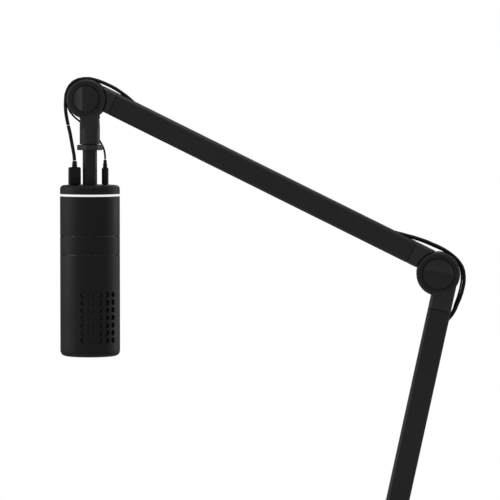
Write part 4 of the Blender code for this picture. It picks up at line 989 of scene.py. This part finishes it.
def build_wrist():
    """Two ears whose neck eases into the sleeve: a superellipse whose power falls from 7 to 2 as it goes down."""
    shift = POST.translation.x - WRIST[0]
    angle = np.linspace(0, tau, 97)
    rows = []
    for share in np.linspace(0, 1, 9):
        ease = share * share * (3 - 2 * share)
        half_x = (8.85 + (9.85 - 8.85) * ease) * MM
        half_y = (12.4 + (9.85 - 12.4) * ease) * MM
        x, y = superellipse_at(half_x, half_y, 7 - 5 * ease, angle)
        rows.append(np.stack([x + shift, y, 0 * x - (18.4 + 10.6 * share) * MM], 1))
    for down, shrink in ((43.3, 0), (43.9, 0.6)):
        radius = SLEEVE_RADIUS - shrink * MM
        rows.append(np.stack([radius * np.cos(angle) + shift, radius * np.sin(angle), 0 * angle - down * MM], 1))
    skins = [np.stack(rows), cap(rows[0][:-1]), cap(rows[-1][:-1])]
    for side in (-1, 1):
        cheek = np.array([(-8.85, -19.2), (8.85, -19.2), (8.85, -8), (-8.85, -8)]) * MM + (shift, 0)
        low, high = sorted((side * SLOT_HALF, side * 12.4 * MM))
        skins += plate(cheek, low, high, 0.4 * MM)
    for mirrored in (False, True):
        skins += ear_disc(WRIST_EAR, WRIST_KNOB, mirrored)
    piece("wrist_ears", placed(Matrix.Translation(WRIST), skins), "arm_joint", "head_post", ["wrist_clevis"], sharp=25)


# The knobs and nuts

WRIST_KNOB, ELBOW_KNOB = 12.0 * MM, 14.3 * MM
KNOB_FACE = 13.3 * MM
KNOB_EDGE = 4.5 * MM
KNOB_HEIGHT = 9.5 * MM
KNOB_RIDGE = 3.0 * MM


SCOOP = 1.3  # the power of the knob's scoop


def knob_skins(radius):
    """A round knob with a grip bar across it: x by y = v sqrt(R^2 - x^2), and the height is a scoop off the bar.

    Beside the bar the height falls by d(1 - (1 - u)^1.3), u going from 0 at the bar to 1 at the rim.
    """
    drop = KNOB_HEIGHT - KNOB_EDGE
    bar = np.array([-1, -0.93, -0.8, -0.4, 0, 0.4, 0.8, 0.93, 1]) * KNOB_RIDGE
    out = np.array([0.02, 0.05, 0.09, 0.14, 0.2, 0.28, 0.38, 0.5, 0.62, 0.74, 0.85, 0.93, 0.975, 0.995, 1.0])
    beside = KNOB_RIDGE + out * (radius - KNOB_RIDGE)
    x = np.concatenate([-beside[::-1], bar, beside])
    u = np.clip((np.abs(x) - KNOB_RIDGE) / (radius - KNOB_RIDGE), 0, 1)
    height = KNOB_HEIGHT - drop * (1 - (1 - u) ** SCOOP)
    height -= 0.25 * MM * np.clip((np.abs(x) - 0.8 * KNOB_RIDGE) / (0.2 * KNOB_RIDGE), 0, 1) ** 2
    v = np.sin(np.linspace(-1, 1, 33) * pi / 2)
    chord = np.sqrt(np.maximum(radius**2 - x**2, 0))
    rim = 0.35 * MM
    inner = np.maximum(chord - rim, 0)
    skins = [np.stack([0 * v + x[:, None], inner[:, None] * v, 0 * v + height[:, None]], -1)]
    for side in (-1, 1):
        levels = [(0, height), (0.7, height - 0.1 * MM), (1, height - rim), (1, 0 * height + 0.4 * MM), (0, 0 * height)]
        skins.append(np.stack([
            np.stack([x, side * (inner + (chord - inner) * share), level], 1) for share, level in levels
        ]))
    base = np.stack([x, inner, 0 * x], 1)
    skins.append(np.stack([base, base * (1, -1, 1)], 0))
    return skins


def build_fastening(hinge, name, radius, turn, knob_body, nut_body):
    """A knob on the near ear, and a nut on the far ear."""
    facing = Matrix.Translation(hinge) @ Matrix.Rotation(turn, 4, "Y") @ Matrix.Translation((0, -KNOB_FACE, 0))
    facing = facing @ Matrix.Rotation(pi / 2, 4, "X")
    piece(f"{name}_grip", placed(facing, knob_skins(radius)), "knob", knob_body, [f"{name}_knob"], sharp=38)
    nut = eased([(3.3, 0), (8.0, 0), (8.0, 5.5), (3.3, 5.5)], 0.5, closed=True) * MM
    nut = turned_polygon(looped(nut), 6, 0.0, 12)
    at_nut = Matrix.Translation(hinge) @ Matrix.Translation((0, KNOB_FACE, 0)) @ ALONG_Y
    piece(f"{name}_hex_nut", placed(at_nut, [nut]), "steel", nut_body, [f"{name}_nut"], sharp=28)


# The base

def build_yoke():
    """The ears of the shoulder, on a column with a round foot."""
    foot_low = float(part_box("yoke")[0].z) - SHOULDER[2]
    foot_high = foot_low + 12 * MM
    foot = turned_ring([
        (6.4 * MM, foot_low), (19 * MM, foot_low), (19 * MM, foot_high), (6.4 * MM, foot_high),
    ], np.array([0.1, 0.5, 1.4, 0.1]) * MM)
    reach = ELBOW_EAR - TONGUE_STEP + 0.6 * MM
    turn = np.linspace(np.arcsin(12 * MM / reach), -np.arcsin(12 * MM / reach), 17)
    saddle = np.stack([reach * np.sin(turn), -reach * np.cos(turn)], 1)
    low = foot_high - MM
    column = np.concatenate([[(-12 * MM, low), (12 * MM, low)], saddle])
    skins = [foot, *plate(column, -12.4 * MM, 12.4 * MM, 0.5 * MM)]
    for mirrored in (False, True):
        skins += ear_disc(ELBOW_EAR, ELBOW_KNOB, mirrored)
    piece("shoulder_yoke", placed(Matrix.Translation(SHOULDER), skins), "arm_joint", "swivel", ["yoke"], sharp=25)


def build_clamp():
    """The C of the clamp with rounded edges, and its collar."""
    low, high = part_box("clamp_frame")
    jaw_low, jaw_high = 1.8 * MM, 11.8 * MM
    lower_high, lower_low = low.z + 10 * MM, low.z
    spine, back, corner = high.x - 9 * MM, high.x, 6 * MM
    outline = eased([
        (low.x, jaw_low), (spine, jaw_low), (spine, lower_high), (-15 * MM, lower_high), (-15 * MM, lower_low),
        (back, lower_low), (back, jaw_high), (low.x, jaw_high),
    ], [2.4 * MM, 1.5 * MM, 1.5 * MM, 2.4 * MM, 2.4 * MM, corner, corner, 3.0 * MM], closed=True, steps=6)
    skins = plate(outline, low.y, high.y, 1.2 * MM)
    collar = [(7.8, 11.4), (19.0, 11.4), (17.0, 13.4), (17.0, 40.0), (7.8, 40.0)]
    collar = eased(collar, (0, 0, 1.6, 0.7, 0.2), closed=True) * MM
    boss = eased([(5.3, 0), (9.5, 0), (9.5, 2.2), (5.3, 2.2)], 0.5, closed=True) * MM + (0, lower_high - 0.1 * MM)
    skins += [turned(looped(collar), 96), turned(looped(boss), 64)]
    piece("clamp_body", skins, "arm_joint", "clamp", ["clamp_frame"], sharp=30)
    low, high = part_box("desk_pad")
    pad = eased([(low.x, low.y), (high.x, low.y), (high.x, high.y), (low.x, high.y)], 3 * MM, closed=True)
    piece("jaw_pad", swept(pad, [(low.z, 0.25 * MM), (low.z + 0.3 * MM, 0), (high.z, 0)]), "rubber", "clamp",
          ["desk_pad"])


def build_screw():
    """The screw as a helical thread: r = r0 + h tri((z / pitch) - a / 2pi), and its head, handle and pad."""
    low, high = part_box("clamp_screw")
    head_top = low.z + 16 * MM
    pitch, deep = 2.5 * MM, 0.75 * MM
    z = np.linspace(head_top - MM, high.z, int((high.z - head_top) / pitch * 12))[:, None]
    angle = np.linspace(0, tau, 65)[None]
    phase = np.mod(z / pitch - angle / tau, 1.0)
    radius = 5 * MM - deep * np.abs(2 * phase - 1)
    fade = np.clip((high.z - z) / (2.5 * MM), 0, 1)
    radius = np.minimum(radius, (3.4 + 1.6 * fade) * MM)
    thread = np.stack([radius * np.cos(angle), radius * np.sin(angle), z + 0 * angle], -1)
    skins = [thread, cap(thread[0, :-1]), cap(thread[-1, :-1])]
    head = eased([(0, low.z), (7 * MM, low.z), (7 * MM, head_top), (0, head_top)], 0.8 * MM)
    skins += [turned(head, 64)]
    piece("threaded_screw", skins, "steel", "clamp_screw", ["clamp_screw"], sharp=50)
    low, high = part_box("clamp_handle")
    half, level = float(high.x - low.x) / 2, float(low.z + high.z) / 2
    bar = eased([(0, -half), (3.3 * MM, -half), (3.3 * MM, -half + 5 * MM), (2.4 * MM, -half + 5 * MM),
                 (2.4 * MM, half - 5 * MM), (3.3 * MM, half - 5 * MM), (3.3 * MM, half), (0, half)],
                (0, 1.2 * MM, 0.4 * MM, 0.1 * MM, 0.1 * MM, 0.4 * MM, 1.2 * MM, 0))
    lie = Matrix.Translation((0, 0, level)) @ Matrix.Rotation(pi / 2, 4, "Y")
    piece("tommy_bar", placed(lie, [turned(bar, 48)]), "steel", "clamp_screw", ["clamp_handle"])
    low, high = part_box("pressure_pad")
    top = high.z
    pad = eased([
        (0, top - 6 * MM), (5.3 * MM, top - 6 * MM), (5.3 * MM, low.z), (7.8 * MM, low.z), (7.8 * MM, top - 6.5 * MM),
        (9.4 * MM, top - 4 * MM), (16 * MM, top - 4 * MM), (16 * MM, top), (0, top),
    ], (0, 0.2 * MM, 0.3 * MM, 0.6 * MM, 1.5 * MM, 1.0 * MM, 0.8 * MM, 0.6 * MM, 0))
    piece("foot_pad", [turned(pad, 96)], "arm_joint", "pressure_pad", ["pressure_pad"])


# The spare length's ties and connectors

def build_tie(name, ring, angle, ring_radius, half_wide, half_high, width=7 * MM, thick=0.5 * MM):
    """A soft strap round a coil's bundle: an ellipse in the bundle's cross-section, carried across its width."""
    turn = np.linspace(0, tau, 49)
    rows = []
    for grow, across in ((0, -1), (0, 1), (0.9, 1.0), (1, 0.92), (1, -0.92), (0.9, -1.0), (0, -1)):
        out = ring_radius + (half_wide + grow * thick) * np.cos(turn)
        rise = ring[2] + (half_high + grow * thick) * np.sin(turn)
        rows.append(np.stack([out, 0 * turn + across * width / 2, rise], 1))
    at = Matrix.Translation((ring[0], ring[1], 0)) @ Matrix.Rotation(angle, 4, "Z")
    return piece(name, placed(at, [np.stack(rows)]), "rubber", "clamp")


def build_spare_ends():
    """The connectors on both leads' far ends, lying on the desk."""
    low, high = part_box("usb_host_plug")
    y, z = float(low.y + high.y) / 2, float(low.z + high.z) / 2
    lie = Matrix.Translation((-112 * MM, y, z)) @ Matrix.Rotation(-pi / 2, 4, "Y")
    levels = [(0, 1.0), (0.5, 0.35), (1.4, 0), (9, 0), (9.4, 0.3), (9.9, 0.3), (10.3, 0), (24, 0.05), (27.3, 0.25),
              (28, 0.9)]
    body = swept(superellipse(4.0 * MM, 8.0 * MM, 5, 64), [(level * MM, shrink * MM) for level, shrink in levels])
    relief = ribbed(3.0 * MM, 2.3 * MM, -0.5 * MM, 6.8 * MM, 4) * (1, 1, -1)
    plug = piece("usb_host_body", placed(lie, [*body, relief]), "plug", "clamp", ["usb_host_plug"])
    wall = 0.5 * MM
    outer = superellipse(2.25 * MM, 6.0 * MM, 6, 64)
    levels = [(27 * MM, 0), (46 * MM - 0.3 * MM, 0), (46 * MM, 0.15 * MM), (46 * MM, wall), (29 * MM, wall)]
    shell = swept(outer, levels)
    levels = [(28.5 * MM, 0), (45 * MM, 0), (45.3 * MM, 0.2 * MM)]
    tongue_plate = swept(superellipse(0.9 * MM, 5.2 * MM, 12, 64), levels)
    tongue_plate = placed(Matrix.Translation((-0.75 * MM, 0, 0)), tongue_plate)
    metal = piece("usb_host_shell", placed(lie, shell), "chassis", "clamp")
    insert = piece("usb_host_insert", placed(lie, tongue_plate), "inner_plastic", "clamp")
    low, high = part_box("headphone_far_socket")
    y, z = float(low.y + high.y) / 2, float(low.z + high.z) / 2
    lie = Matrix.Translation((-145 * MM, y, z)) @ Matrix.Rotation(-pi / 2, 4, "Y")
    barrel = eased([
        (0, 5.5), (3.2, 5.5), (4.0, 6.6), (4.0, 30.5), (3.8, 30.8), (3.8, 31.4), (4.0, 31.7), (4.0, 36), (2.05, 36),
        (2.05, 22), (0, 22),
    ], 0.25) * MM
    skins = [turned(barrel, 64), ribbed(1.9 * MM, 1.45 * MM, -6.2 * MM, 0.6 * MM, 4) * (1, 1, -1)]
    socket = piece("headphone_far_body", placed(lie, skins), "plug", "clamp", ["headphone_far_socket"])
    return [plug, metal, insert], [socket]


def build_ties():
    """One strap for each coil, from (radius of the coil, half width, half height, place round it)."""
    ties = []
    for kind, radius, wide, high, angle in (
        ("usb", USB_COIL, 5.4, 4.85, 90),
        ("headphone", HEADPHONE_COIL, 3.1, 3.7, -90),
    ):
        ring = middle(f"{kind}_lead_coil")
        ties.append(build_tie(f"{kind}_coil_tie", ring, radians(angle), radius, wide * MM, high * MM))
    return ties


# The desk

DESK_LENGTH, DESK_HALF, DESK_THICK = 620 * MM, 420 * MM, 25 * MM


def build_desk():
    """A pale slab with a rounded front edge, for the clamp to hold."""
    back, edge = -DESK_LENGTH, float(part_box("clamp_frame")[1].x) - 10.5 * MM
    outline = eased([(back, -DESK_THICK), (edge, -DESK_THICK), (edge, 0), (back, 0)], 4 * MM, closed=True)
    mesh = piece_mesh("desk", plate(outline, -DESK_HALF, DESK_HALF, 2 * MM), "desk", 32, 2e-6)


# The build

finish_cad_nodes()
set_camera()
set_world()
set_lights()
build_lower_shell()
build_case()
build_post()
build_plugs()
build_tube("lower", AT_LOWER, LOWER_OFFSET, 32.3 * MM, LOWER_SPAN - 34.3 * MM, "lower_arm")
build_tube("upper", AT_UPPER, UPPER_OFFSET, 32.3 * MM, UPPER_SPAN - 25.3 * MM, "upper_arm")
build_cover("lower", AT_LOWER, LOWER_OFFSET, 60 * MM, LOWER_SPAN - 60 * MM, "lower_arm")
build_cover("upper", AT_UPPER, UPPER_OFFSET, 76 * MM, UPPER_SPAN - 60 * MM, "upper_arm")
build_fittings()
build_wrist()
build_yoke()
build_fastening(WRIST, "wrist", WRIST_KNOB, 0.0, "wrist_knob", "head_post")
build_fastening(ELBOW, "elbow", ELBOW_KNOB, radians(98), "elbow_knob", "lower_arm")
build_fastening(SHOULDER, "shoulder", ELBOW_KNOB, 0.0, "shoulder_knob", "swivel")
build_clamp()
build_screw()
usb_end, headphone_end = build_spare_ends()
usb_tie, headphone_tie = build_ties()
build_leads([*usb_end, usb_tie], [*headphone_end, headphone_tie])
build_desk()
